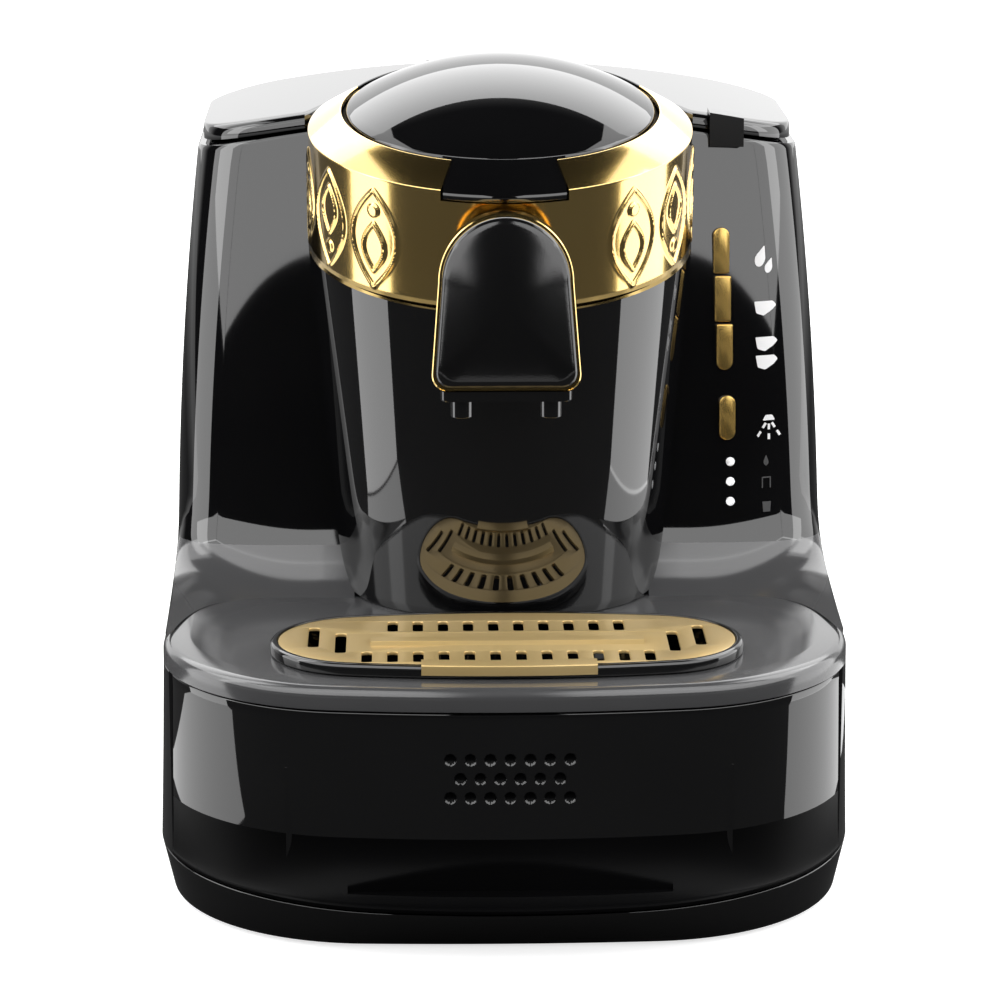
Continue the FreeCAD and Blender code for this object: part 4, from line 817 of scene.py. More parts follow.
    def _fascia_rows(self) -> tuple[np.ndarray, np.ndarray]:
        """Heights of the drawer front's rows, and how far its rounded edges draw them in.

        Returns:
            Heights and gaps, one per row.
        """
        low, high = self.fascia_low, self.fascia_high
        foot = np.array([low, low + 0.08, low + 0.3, low + 0.7, low + 1.2])
        foot_gap = np.array([0.7, 0.35, 0.1, 0.0, 0.0])
        turn = np.radians(np.linspace(86, 0, 30))
        flare = self.flare_high - (self.flare_high - self.flare_low) * np.sin(turn)
        grip = np.array([self.grip_low, self.grip_low + 0.05, self.grip_high - 0.05, self.grip_high])
        dimples = np.arange(48.6, 67.6, self.dimple_step)
        plain = np.array([42.0, 45.0, 69.0, 72.0, 76.0, high - 0.6])
        middle = np.unique(np.concatenate([flare, grip, dimples, plain]))
        head = np.array([high - 0.3, high - 0.08, high])
        head_gap = np.array([0.08, 0.3, 0.7])
        heights = np.concatenate([foot, middle, head])
        gaps = np.concatenate([foot_gap, np.zeros(len(middle)), head_gap])
        return heights, gaps

    def _fascia_columns(self) -> np.ndarray:
        """Places across of the columns on the right half, up to where the corner begins."""
        edge = self.grip_half
        return np.unique(np.concatenate([
            np.arange(0, 22, self.dimple_step), np.linspace(22, edge - 0.05, 18),
            [edge, edge + 0.05], np.linspace(edge + 1, 60, 5)]))

    def _fascia_run(self, height: float, gap: float, columns: np.ndarray,
                    plan: Optional[Plan] = None) -> np.ndarray:
        """One row of the drawer front.

        The wall leans from its head to its foot; below the flare's top the plan moves
        to the ledge by one minus the cosine of the flare's turn.

        Args:
            height: Height of the row.
            gap: Inset of the row.
            columns: Places across on the right half.
            plan: Plan to use in place of the height's own.

        Returns:
            Points x 3 from left to right.
        """
        if plan is None:
            drop = np.clip((self.flare_high - height) / (self.flare_high - self.flare_low), 0, 1)
            rise = np.clip((height - self.flare_high) / (self.fascia_high - self.flare_high), 0, 1)
            plan = FASCIA_FOOT.mix(FASCIA_HEAD, rise).mix(LEDGE, 1 - math.sqrt(1 - drop ** 2))
        run = plan.inset(gap).run(self.cut_depth - self.seam, 3001, False)
        half = run[1500:]
        along = distances(half)
        start = np.interp(columns[-1], half[:, 0], along)
        beyond = start + (along[-1] - start) * np.linspace(0, 1, 60)[1:]
        x = np.concatenate([columns, np.interp(beyond, along, half[:, 0])])
        y = np.concatenate([np.interp(columns, half[:, 0], half[:, 1]), np.interp(beyond, along, half[:, 1])])
        right = level(np.stack([x, y], axis=-1), height)
        left = right[:0:-1] * (-1, 1, 1)
        return np.concatenate([left, right])

    def _dimple_depth(self, x: np.ndarray, z: np.ndarray) -> np.ndarray:
        """Depth of the dimples: balls sunk into the wall in three staggered rows.

        Args:
            x: Places across.
            z: Heights.

        Returns:
            How far each point moves back.
        """
        depth = np.zeros_like(x)
        for count, row in self.dimple_rows:
            spot = (np.arange(count) - (count - 1) / 2) * self.dimple_pitch
            near = spot[np.argmin(abs(x[..., None] - spot), axis=-1)]
            apart = (x - near) ** 2 + (z - row) ** 2
            ball = np.sqrt(np.maximum(self.dimple_radius ** 2 - apart, 0)) - 1.0
            depth = np.maximum(depth, ball)
        return np.maximum(depth, 0)


@dataclass
class Tray:
    """Black drip tray and the gold plate in it."""

    depth: float = -78.0
    half_length: float = 76.4
    half_depth: float = 34.0
    end_radius: float = 30.0
    rim_low: float = 88.6
    rim_high: float = 92.5
    floor_low: float = 78.8
    floor_high: float = 80.4
    seat: float = 90.9
    plate_low: float = 91.0
    plate_thick: float = 1.2
    plate_gap: float = 2.6
    slot: tuple[float, float] = (3.4, 12.0)
    slot_pitch: float = 8.2
    slot_rows: tuple[tuple[float, int], ...] = ((-98.5, 12), (-62.5, 10))
    end_slot: tuple[float, float] = (3.6, 23.0)
    end_slot_places: tuple[tuple[float, float], ...] = ((53.6, -82.0), (62.4, -75.0))
    rib_half: float = 44.0
    tab_half: float = 27.8

    def oval(self, gap: float, fine: int = 48) -> np.ndarray:
        """Oval of two long arcs and two end arcs.

        Args:
            gap: How far it is drawn in.
            fine: Points of each arc.

        Returns:
            Points x 2.
        """
        length, width, end = self.half_length - gap, self.half_depth - gap, self.end_radius - gap
        cx = length - end
        drop = (cx ** 2 - (width - end) ** 2) / (2 * (width - end))
        long_radius = width + drop
        lean = math.atan2(drop, cx)
        up, down = math.pi - lean, math.pi + lean
        return np.concatenate([
            arc(0, self.depth + drop, long_radius, -up, -lean, fine),
            arc(cx, self.depth, end, -lean, lean, fine),
            arc(0, self.depth - drop, long_radius, lean, up, fine),
            arc(-cx, self.depth, end, up, down, fine),
        ])

    def facing(self, loop: np.ndarray, gap: float) -> np.ndarray:
        """Points of the oval in the same directions, seen from its centre, as a loop's points.

        Args:
            loop: Points x 2 of an outline round the oval.
            gap: How far the oval is drawn in.

        Returns:
            Points x 2.
        """
        oval = self.oval(gap, 200)
        angle = np.arctan2(oval[:, 1] - self.depth, oval[:, 0])
        order = np.argsort(angle)
        wanted = np.arctan2(loop[:, 1] - self.depth, loop[:, 0])
        x = np.interp(wanted, angle[order], oval[order, 0], period=2 * math.pi)
        y = np.interp(wanted, angle[order], oval[order, 1], period=2 * math.pi)
        return np.stack([x, y], axis=-1)

    def bowl(self) -> None:
        """Make the tray: rounded rim outside, seat for the plate, wall and floor."""
        section = fillet([
            (18, self.floor_low, 0), (4.5, self.floor_low, 1.0), (4.5, self.rim_low, 0.2),
            (0, self.rim_low, 0.4), (0, self.rim_high, 1.5), (2.3, self.rim_high, 0.3),
            (2.3, self.seat, 0.2), (6.1, self.seat, 0.3), (6.1, self.floor_high, 1.0),
            (18, self.floor_high, 0)], closed=False)
        rows = [level(self.oval(gap), z) for gap, z in section.tolist()]
        Shape().loft(np.stack(rows)).write("tray_bowl", GLOSS, "tray", ["drip_tray"])

    def plate(self) -> None:
        """Make the gold plate from a flat outline with its slots, then add the rib and the tab."""
        loops = [self.oval(self.plate_gap, 40)]
        for y, count in self.slot_rows:
            places = (np.arange(count) - (count - 1) / 2) * self.slot_pitch
            loops += [slot_loop(x, y, *self.slot) for x in places.tolist()]
        for x, y in self.end_slot_places:
            loops += [slot_loop(side * x, y, *self.end_slot) for side in (1, -1)]
        mesh = flat_plate("plate_blank", loops, self.plate_thick, 0.25)
        mesh.transform(Matrix.Translation((0, 0, (self.plate_low + self.plate_thick / 2) * MM)))
        top = self.plate_low + self.plate_thick
        section = fillet([(-86.5, top - 0.6, 0), (-84.2, top + 1.1, 0.8), (-79.0, top + 1.1, 0.8),
                          (-76.5, top - 0.6, 0)])
        rib = extrude(section, np.linspace(-self.rib_half, self.rib_half, 40))
        front = self.oval(-0.25, 200)[:200]
        across = np.linspace(-self.tab_half, self.tab_half, 60)
        edge = np.interp(across, front[:, 0], front[:, 1])
        strip = fillet([(0, 89.4, 0.2), (0, top + 0.65, 0.5), (7, top + 0.65, 0.3), (7, top - 0.3, 0),
                        (0.9, top - 0.3, 0.2), (0.9, 89.4, 0.2)])
        shape = Shape().sweep(rib).sweep(extrude(strip, across, edge))
        extra = bpy.data.meshes.new("plate_extra")
        extra.from_pydata((np.concatenate(shape.points) * MM).tolist(), [], shape.faces)
        work = bmesh.new()
        work.from_mesh(mesh)
        work.from_mesh(extra)
        work.to_mesh(mesh)
        work.free()
        clean(mesh)
        dress(enter("tray_plate", mesh), GOLD_PLATE, "grille", ["drip_grille"])


def slot_loop(x: float, y: float, wide: float, deep: float) -> np.ndarray:
    """Rounded oblong hole as a loop of points.

    Args:
        x: Centre across.
        y: Centre in depth.
        wide: Width.
        deep: Length in depth.

    Returns:
        Points x 2.
    """
    w, d, bend = wide / 2, deep / 2, min(wide, deep) * 0.32
    ring = fillet([(-w, -d, bend), (w, -d, bend), (w, d, bend), (-w, d, bend)], steps=3)
    return ring + (x, y)


def flat_plate(name: str, loops: Sequence[np.ndarray], thick: float, edge: float) -> bpy.types.Mesh:
    """Flat plate with holes, from a filled curve with rounded edges.

    Args:
        name: Name of the mesh.
        loops: Outline first, then the holes, points x 2 in millimetres.
        thick: Thickness.
        edge: Radius of the rounded edges.

    Returns:
        The mesh, about the plane z = 0, in metres.
    """
    curve = bpy.data.curves.new(name, "CURVE")
    curve.dimensions = "2D"
    curve.fill_mode = "BOTH"
    curve.extrude = (thick / 2 - edge) * MM
    curve.bevel_depth = edge * MM
    curve.bevel_resolution = 1
    curve.offset = -edge * MM
    for loop in loops:
        spline = curve.splines.new("POLY")
        spline.points.add(len(loop) - 1)
        flat = np.column_stack([loop * MM, np.zeros(len(loop)), np.ones(len(loop))])
        spline.points.foreach_set("co", flat.ravel())
        spline.use_cyclic_u = True
    holder = bpy.data.objects.new(name, curve)
    mesh = bpy.data.meshes.new_from_object(holder)
    bpy.data.objects.remove(holder)
    bpy.data.curves.remove(curve)
    return mesh


@dataclass
class Head:
    """Gold band, black rear rim and lid of the leaning head, in its own frame."""

    depth: float = 14.0
    height: float = 225.0
    tilt: float = 11.0
    radius: float = 64.6
    wall: float = 2.2
    low: float = -21.5
    high: float = 21.0
    mouth: float = 53.2
    mouth_high: float = 27.9
    chamfer: float = 2.4         # thickness
    sweep: float = 232.0
    lid_radius: float = 51.8
    lid_edge: float = 27.6
    lid_rise: float = 14.7
    lid_wall: float = 2.4
    chord: float = 43.0
    tongue_half: float = 19.9
    tongue_low: float = 18.2
    notch_gap: float = 0.8
    slot_half: float = 30.5
    slot_back: float = 55.6
    ear_place: float = 22.5
    ear_half: float = 2.0
    pin_depth: float = 46.6
    pin_height: float = 26.6
    knuckle: float = 2.6
    knuckle_half: float = 18.0
    ornament_rise: float = 0.7
    ornament_width: float = 1.15
    motif_step: float = 21.0
    motif_angles: tuple[float, ...] = (41.0, 62.0, 83.0, 104.0)

    def place(self) -> Matrix:
        """Matrix from the head's frame to the machine's, in millimetres."""
        move = Matrix.Translation((0, self.depth, self.height))
        return move @ Matrix.Rotation(math.radians(self.tilt), 4, "X")

    def _rim(self) -> np.ndarray:
        """Section of the wall and the chamfer above it, as points of radius and height.

        Returns:
            Points x 2, with five for each of its six corners.
        """
        inner = self.radius - self.wall
        return fillet([(inner, self.low, 0.4), (self.radius, self.low, 0.5), (self.radius, self.high, 0.5),
                       (self.mouth, self.mouth_high, 0.4), (self.mouth, self.mouth_high - self.chamfer, 0.4),
                       (inner, self.high - self.chamfer, 0.5)], steps=4)

    def band(self) -> None:
        """Make the gold band: a turned wall with a chamfer, a notch for the tongue and raised ornament."""
        inner = self.radius - self.wall
        rim = self._rim()
        wall_low, wall_high = self.low + 0.7, self.high - 0.7
        fine = np.stack([np.full(120, self.radius), np.linspace(wall_low, wall_high, 120)], axis=-1)
        before = rim[:10]
        section = np.concatenate([before, fine, rim[10:]])
        half = self.sweep / 2
        edge = math.degrees(math.asin((self.tongue_half + self.notch_gap) / self.radius))
        steps = np.linspace(-half, half, 620)
        turn = np.unique(np.concatenate([steps, [-edge - 0.01, -edge + 0.01, edge - 0.01, edge + 0.01]]))
        points = revolve(section, turn + FRONT_ANGLE)
        radial = np.hypot(points[..., 0], points[..., 1])
        on_wall = np.zeros(len(section), dtype=bool)
        on_wall[len(before):len(before) + len(fine)] = True
        radial[on_wall] += self._ornament(turn, fine[:, 1])
        floor = self.tongue_low - self.notch_gap
        cut = (abs(turn) < edge)[None, :] & (points[..., 2] > floor)
        points[..., 2] = np.where(cut, floor, points[..., 2])
        radial = np.where(cut, np.clip(radial, inner, self.radius), radial)
        way = np.radians(turn + FRONT_ANGLE)
        points[..., 0] = radial * np.cos(way)
        points[..., 1] = radial * np.sin(way)
        Shape().sweep(points).write("gold_band", GOLD_BAND, "machine", ["head_ring"], self.place())

    def rear(self) -> None:
        """Make the black rear of the head: the band's section carried on round the back.

        Where the lid's rear edge turns, the rim is cut back to a plane: its points move
        out along the cone to the radius where they meet the plane, its depth over the cosine.
        """
        rim = self._rim()
        half = 180.0 - self.sweep / 2 - 0.15
        slot = math.degrees(math.atan(self.slot_half / self.slot_back))
        steps = np.linspace(-half, half, 128)
        turn = np.unique(np.concatenate([steps, [-slot - 0.02, -slot, slot, slot + 0.02]]))
        points = revolve(rim, turn - FRONT_ANGLE)
        slope = (self.mouth_high - self.high) / (self.radius - self.mouth)
        least = np.where(abs(turn) <= slot, self.slot_back / np.cos(np.radians(turn)), 0.0)
        radius = np.broadcast_to(rim[:, :1], points.shape[:2])
        moved = (radius < least) & (points[..., 2] > self.high - 4.0)
        wider = np.where(moved, least, radius)
        cone = self.high + (self.radius - wider) * slope
        drop = np.where(rim[:, 1:] < self.high - 1.0, self.chamfer, 0.0)
        points[..., 2] = np.where(moved, np.minimum(points[..., 2], cone - drop), points[..., 2])
        way = np.radians(turn - FRONT_ANGLE)
        points[..., 0] = wider * np.cos(way)
        points[..., 1] = wider * np.sin(way)
        shape = Shape().sweep(points)
        ear = fillet([(44.0, 20.0, 0.5), (49.2, 20.0, 0.5), (49.2, 29.2, 2.58), (44.0, 29.2, 2.58)], steps=8)
        near, far = self.ear_place - self.ear_half, self.ear_place + self.ear_half
        shape.twins((near, 44.5, 14.0), (far, 58.0, 24.5))
        for across in ((-far, -near), (near, far)):
            shape.sweep(extrude(ear, np.array(across)))
        shape.block((-30, 45, 13.5), (30, 61, 15.0))
        shape.write("rear_rim", GLOSS, "machine", ["hinge_cover"], self.place())

    def _ornament(self, turn: np.ndarray, heights: np.ndarray) -> np.ndarray:
        """Raised lines of the band, from each point's distance to the nearest line of a motif.

        A motif is a pair of bowed stems that meet at a tip, with a bead between them;
        every second motif stands upside down.

        Args:
            turn: Angles from the front, in degrees.
            heights: Heights of the rows.

        Returns:
            Rise of each point, rows x columns.
        """
        centres = np.array(self.motif_angles)
        across = np.abs(turn)
        nearest = np.argmin(abs(across[:, None] - centres), axis=1)
        s = np.radians(across - centres[nearest]) * self.radius
        flip = np.where(nearest % 2 == 0, 1.0, -1.0)
        bow = np.linspace(0, 1, 90)
        outer = np.stack([9.4 * np.sin(np.pi * bow) ** 0.9, -17.0 + 33.5 * bow], axis=-1)
        inner = np.stack([4.4 * np.sin(np.pi * bow), -11.5 + 16.5 * bow], axis=-1)
        strokes = np.concatenate([outer, outer * (-1, 1), inner, inner * (-1, 1)])
        grid_s = np.broadcast_to(s, (len(heights), len(s)))
        grid_z = heights[:, None] * flip[None, :]
        far = np.full(grid_s.shape, 99.0)
        for x, z in strokes.tolist():
            far = np.minimum(far, np.hypot(grid_s - x, grid_z - z))
        bead = np.hypot(grid_s, grid_z - 9.6) - 1.6
        far = np.minimum(far, np.maximum(bead, 0))
        share = np.clip(1.0 - far / self.ornament_width, 0, 1)
        inside = abs(s) < math.radians(self.motif_step / 2) * self.radius
        return self.ornament_rise * share ** 2 * (3 - 2 * share) * inside[None, :]

    def lid(self) -> None:
        """Make the lid: a ball's cap cut straight at the back, its shell, tongue, knuckle and back wall."""
        turn = np.radians(np.linspace(0, 360, 240, endpoint=False))
        reach = np.minimum(self.lid_radius, self.chord / np.maximum(np.sin(turn), 1e-3))
        reach = np.where(np.sin(turn) > 0, reach, self.lid_radius)
        ball = (self.lid_radius ** 2 + self.lid_rise ** 2) / (2 * self.lid_rise)
        centre = self.lid_edge + self.lid_rise - ball
        low = self.lid_edge - 1.4
        rows = []
        for share in np.linspace(0.02, 0.985, 26):
            rows.append(self._cap_row(turn, reach * share, ball, centre))
        for share, drop in ((0.994, 0.12), (0.999, 0.45), (1.0, 0.9)):
            row = self._cap_row(turn, reach * share, ball, centre)
            row[:, 2] -= drop
            rows.append(row)
        rim = self._cap_row(turn, reach, ball, centre)
        rim[:, 2] = low
        rows.append(rim)
        inner = np.maximum(reach - self.lid_wall, 1.0)
        edge = self._cap_row(turn, inner, ball - self.lid_wall, centre)
        foot = edge.copy()
        foot[:, 2] = low
        rows += [foot, edge]
        for share in (0.8, 0.5, 0.25, 0.02):
            rows.append(self._cap_row(turn, inner * share, ball - self.lid_wall, centre))
        shape = Shape().loft(np.stack(rows)).sweep(self._tongue())
        near, far = self.pin_depth - self.knuckle, self.pin_depth + self.knuckle
        under, over = self.pin_height - self.knuckle, self.pin_height + self.knuckle
        bend = self.knuckle - 0.01
        knuckle = fillet([(near, under, bend), (far, under, bend), (far, over, bend), (near, over, bend)],
                         steps=8)
        half = self.knuckle_half
        shape.sweep(extrude(knuckle, np.array([-half, half])))
        shape.block((-half, 41.5, 26.3), (half, self.pin_depth, 28.4))
        shape.write("lid_cap", GLOSS, "brew_lid", ["lid_dome"], self.place())

    def _cap_row(self, turn: np.ndarray, radius: np.ndarray, ball: float, centre: float) -> np.ndarray:
        """Ring of points on a ball: height is the centre plus the root of ball squared less radius squared.

        Args:
            turn: Angles, in radians.
            radius: Distance from the axis at each angle.
            ball: Radius of the ball.
            centre: Height of its centre.

        Returns:
            Points x 3.
        """
        return np.stack([radius * np.cos(turn), radius * np.sin(turn),
                         centre + np.sqrt(ball ** 2 - radius ** 2)], axis=-1)

    def _tongue(self) -> np.ndarray:
        """Sections of the tongue that crosses the band's chamfer and hangs before its wall.

        Returns:
            Array of section points x stations x 3.
        """
        slope = (self.mouth_high - self.high) / (self.radius - self.mouth)
        outer = self.radius + 0.9
        knee = self.lid_edge - slope * (outer - self.lid_radius) + 0.8
        section = fillet([
            (48.0, 26.3, 0), (48.0, self.lid_edge + 0.2, 0),
            (self.lid_radius - 0.4, self.lid_edge + 0.3, 1.2), (outer, knee, 1.4),
            (outer, self.tongue_low, 0.5), (outer - 2.2, self.tongue_low, 0.4),
            (outer - 2.2, knee - 2.2, 0.8)], steps=5)
        half = self.tongue_half
        across = np.sort(np.concatenate([np.linspace(-half, half, 60), [0.15 - half, half - 0.15]]))
        radius = section[:, :1]
        depth = -np.sqrt(radius ** 2 - across[None, :] ** 2)
        wide = np.broadcast_to(across, depth.shape)
        tall = np.broadcast_to(section[:, 1:], depth.shape)
        return np.stack([wide, depth, tall], axis=-1)


@dataclass
class Column:
    """Tapered column under the head. Its foot has a slightly rounded edge."""

    depth: float = 14.0
    foot_radius: float = 55.2
    flare: float = 0.082
    low: float = 88.3
    back: float = 76.4
    wall: float = 2.4
    top_drop: float = 19.0     # of the slanted top below the head's centre

    def make(self, head: Head) -> None:
        """Make the column: its radius grows with height up to a slanted top inside the band.

        Args:
            head: The head that it carries.
        """
        turn = np.radians(np.linspace(0, 360, 256, endpoint=False))
        lean = math.radians(head.tilt)
        share = np.concatenate([[0, 0.002, 0.006], np.linspace(0.03, 1, 24)])
        rows = []
        for wall, order in ((0.0, share), (self.wall, share[::-1])):
            for part in order:
                top = head.height - self.top_drop / math.cos(lean) + math.tan(lean) * (
                    (self.foot_radius + 9) * np.sin(turn))
                z = self.low + 0.05 + part * (top - self.low)
                radius = self.foot_radius + self.flare * (z - self.low) - wall
                if part < 0.005:
                    radius = radius - (0.35 if part == 0 else 0.1)
                y = np.minimum(self.depth + radius * np.sin(turn), self.back)
                rows.append(np.stack([radius * np.cos(turn), y, z], axis=-1))
        shape = Shape().grid(np.stack(rows), wrap_rows=True, wrap_columns=True)
        shape.write("column_wall", GLOSS, "machine", ["column_shell"])


@dataclass
class Lobes:
    """Rear casing with its two lobes, the tank's bay and the cover over them."""

    inner: float = 50.0
    lean: float = 0.178
    front: float = 10.0
    middle: float = 150.0
    side: float = 111.6
    side_curve: float = 0.00038
    corner: float = 30.0
    low: float = 88.3
    sweep_top: float = 125.0
    crown_radius: float = 454.6
    crown_top: float = 252.5
    cover: float = 4.8
    drop: float = 1.2          # between the casing and the cover
    head_gap: float = 3.4
    edge_round: float = 4.0
    sheen_high: float = 103.0     # below it the lobes' front, where it flares out to the deck, gets painted sheen
    sheen_back: float = 70.0
    back: float = 79.5
    wall_front: float = 77.0
    shelf_inner: float = 30.0
    shelf_front: float = 52.0
    shelf_low: float = 200.0
    bay_front: float = 78.0
    bay_wall: float = 2.5
    bay_floor: float = 95.6
    bay_high: float = 98.2
    rear: float = 131.4
    rear_corner: float = 26.0
    front_count: int = 64        # points along the front
    arm_low: tuple[float, float, float] = (29.0, 127.9, 238.0)
    arm_high: tuple[float, float, float] = (37.0, 131.3, 248.0)
    plan_height: float = 250.0   # where the cover's plan is taken
    foot: tuple[tuple[float, float], ...] = ((60.0, -12.0), (101.0, -8.0), (104.5, -20.0), (111.6, -66.0))

    def crown(self, x: np.ndarray, drop: float) -> np.ndarray:
        """Height of the crowned top, an arc about a far lower centre, less a drop."""
        return self.crown_top - self.crown_radius + np.sqrt((self.crown_radius - drop) ** 2 - x ** 2)

    def front_point(self, z: np.ndarray, t: np.ndarray) -> tuple[np.ndarray, np.ndarray]:
        """Point on a lobe's front: a cubic curve in plan whose controls lean back with height.

        Near the deck the controls move to the foot's by the fifth power of the share
        of the sweep that is left.

        Args:
            z: Heights.
            t: Places along the curve, from 0 at the column to 1 at the side.

        Returns:
            Places across and in depth.
        """
        lean = self.front + self.lean * (z - self.middle)
        side = self.side_at(z)
        share = np.clip((self.sweep_top - z) / (self.sweep_top - self.low), 0, 1) ** 5
        plain = ((60.0 + 0 * z, lean), (side - 19.0, lean + 1.0), (side, lean + 6.0),
                 (side, lean + self.corner))
        weights = ((1 - t) ** 3, 3 * t * (1 - t) ** 2, 3 * t ** 2 * (1 - t), t ** 3)
        x = np.zeros(np.broadcast(z, t).shape)
        y = np.zeros_like(x)
        for weight, (px, py), (fx, fy) in zip(weights, plain, self.foot):
            x += weight * (px + (fx - px) * share)
            y += weight * (py + (fy - py) * share)
        return x, y

    def side_at(self, z: np.ndarray) -> np.ndarray:
        """Half width at a height: the sides draw in by the square of the height over the deck."""
        return self.side - self.side_curve * (z - self.low) ** 2

    def face_depth(self, x: float, z: float) -> float:
        """Depth of the right lobe's front at a place across and up."""
        t = np.linspace(0, 1, 400)
        across, depth = self.front_point(np.full(400, z), t)
        return float(np.interp(x, across, depth))

    def _skin(self) -> np.ndarray:
        """Points round the right lobe: inner edge, front, side and back, from the deck to the top.

        The heights are shares of the way to the crown, close together where the front
        sweeps out. The top two rows are tucked in, which rounds the upper edge.

        Returns:
            Array of rows x points x 3.
        """
        drop = self.cover + self.drop
        share = np.concatenate([[0], np.geomspace(0.004, 0.2, 18), np.linspace(0.24, 0.988, 22),
                                [0.996, 1.0]])[:, None]
        t = np.linspace(0, 1, self.front_count)
        nominal = self.low + share * (self.crown_top - self.cover - 8.4 - self.low)
        x, _ = self.front_point(nominal, t[None, :])
        z = self.low + share * (self.crown(x, drop) - self.low)
        x, y = self.front_point(z, np.broadcast_to(t, z.shape))
        rim = LIP.inset(1.0).loop(8)
        rim = rim[(rim[:, 0] > 0) & (rim[:, 1] < 0)]
        rim = rim[np.argsort(rim[:, 1])]
        x = np.minimum(x, np.interp(y, rim[:, 1], rim[:, 0]))
        tuck = np.zeros_like(z)
        tuck[-1] = 0.45
        tuck[-2] = 0.1
        front = np.stack([x - tuck * t ** 2, y + tuck, z], axis=-1)
        along = np.linspace(0, 1, 14)[1:]
        sides = np.repeat(front[:, -1:], len(along), axis=1)
        sides[..., 0] = self.side_at(sides[..., 2]) - tuck[:, -1:]
        sides[..., 1] += (self.back - sides[..., 1]) * along
        inwards = np.linspace(1, 0, 8)[1:]
        backs = np.repeat(sides[:, -1:], len(inwards), axis=1)
        backs[..., 0] = self.inner + (backs[..., 0] - self.inner) * inwards
        backs[..., 2] = self.low + share * (self.crown(backs[..., 0], drop) - self.low)
        start = front[:, :1].copy()
        start[..., 0] = self.inner
        return np.concatenate([start, front, sides, backs], axis=1)

    def casing(self) -> None:
        """Make both lobes, the wall between them, the shelf over them and the tank's bay."""
        shape = Shape()
        skin = self._skin()
        for side in (1, -1):
            shape.loft(skin * (side, 1, 1), caps=False)
            for end in (0, -1):
                self._close(shape, skin[end] * (side, 1, 1))
        top = self.crown_top - self.cover - 3.5
        half = self.inner + 1.0
        shape.block((-half, self.wall_front, self.low), (half, self.back, top))
        shape.twins((self.shelf_inner, self.shelf_front, self.shelf_low), (half, self.back, top - 1))
        bay = Plan(self.side, -200.0, 400.0, 56.0, self.rear, self.rear_corner)
        cut, high = self.bay_front, self.bay_high
        outer = bay.run(cut, 120, True)
        inner = bay.inset(self.bay_wall).run(cut, 120, True)
        shape.sweep(np.stack([level(outer, self.low), level(outer, high - 0.5), level(outer * 0.995, high),
                              level(inner, high), level(inner, self.low)]))
        floor = bay.inset(1.0).run(cut, 60, True)
        shape.loft(np.stack([level(floor, self.bay_floor), level(floor, high - 0.05)]))
        piece = shape.write("casing", GLOSS, "machine", ["housing"])
        _, depth, height = face_centres(piece).T
        # Painted sheen: the lobes' lower front gets the dark grey finish in place of reflected light.
        paint_faces(piece, PAINTED_SHEEN, (height < self.sheen_high) & (depth < self.sheen_back))

    def _close(self, shape: Shape, loop: np.ndarray) -> None:
        """Close one end of a lobe with a strip between its front and its back edge.

        Args:
            shape: Shape that gets the strip.
            loop: Points round the end.
        """
        front = loop[:self.front_count + 1]
        rest = loop[self.front_count:][::-1]
        share = np.linspace(0, 1, 40)
        a = resample(front, share)
        b = resample(np.concatenate([loop[:1], rest]), share)
        rows = np.stack([a, (a + b) / 2, b])
        if loop[0, 2] > self.sweep_top:
            rows[1, :, 2] = self.crown(rows[1, :, 0], self.cover + self.drop)
        shape.grid(rows)

    def lid(self, head: Head) -> None:
        """Make the cover over tank and lobes: crowned top, hollow front edge round the head.

        Args:
            head: The head that the cover goes round.
        """
        side = float(self.side_at(np.array(self.plan_height)))
        turn = np.linspace(-math.pi / 2, math.pi / 2, 161)
        x = side * np.sin(turn) * 0.9999
        t = np.linspace(0, 1, 600)
        curve_x, curve_y = self.front_point(np.full(600, self.plan_height), t)
        lobe = np.interp(abs(x), curve_x, curve_y, left=0.0)
        lean = math.radians(head.tilt)
        axis = head.depth - (self.plan_height - head.height) * math.tan(lean)
        room = head.radius + self.head_gap
        round_head = axis + room / math.cos(lean) * np.sqrt(np.maximum(1 - (x / room) ** 2, 0))
        front = np.where(abs(x) < room, np.maximum(lobe, round_head), lobe)
        corner = self.rear_corner
        past = np.maximum(abs(x) - (side - corner), 0)
        rear = self.rear - corner + np.sqrt(np.maximum(corner ** 2 - past ** 2, 0))
        bend = self.edge_round
        near = bend * (1 - np.cos(np.radians(np.linspace(0, 90, 8))))[:, None]
        share = np.linspace(0, 1, 28)[1:, None]
        y = np.concatenate([front + near, front + bend + (rear - front - bend) * share])
        wide = np.broadcast_to(x, y.shape)
        left = np.clip(bend - (y - front), 0, bend)
        fall = bend - np.sqrt(bend ** 2 - left ** 2)
        top = np.stack([wide, y, self.crown(wide, 0.0) - fall], axis=-1)
        under = np.stack([wide, y, self.crown(wide, self.cover)], axis=-1)
        shape = Shape().grid(top).grid(under)
        for rim in (lambda a: a[0], lambda a: a[-1], lambda a: a[:, 0], lambda a: a[:, -1]):
            shape.grid(np.stack([rim(top), rim(under)]))
        shape.twins(self.arm_low, self.arm_high)
        piece = shape.write("cover", GLOSS, "tank_cover", ["tank_lid"], bevel=0.7)
        piece.modifiers["edges"].segments = 3


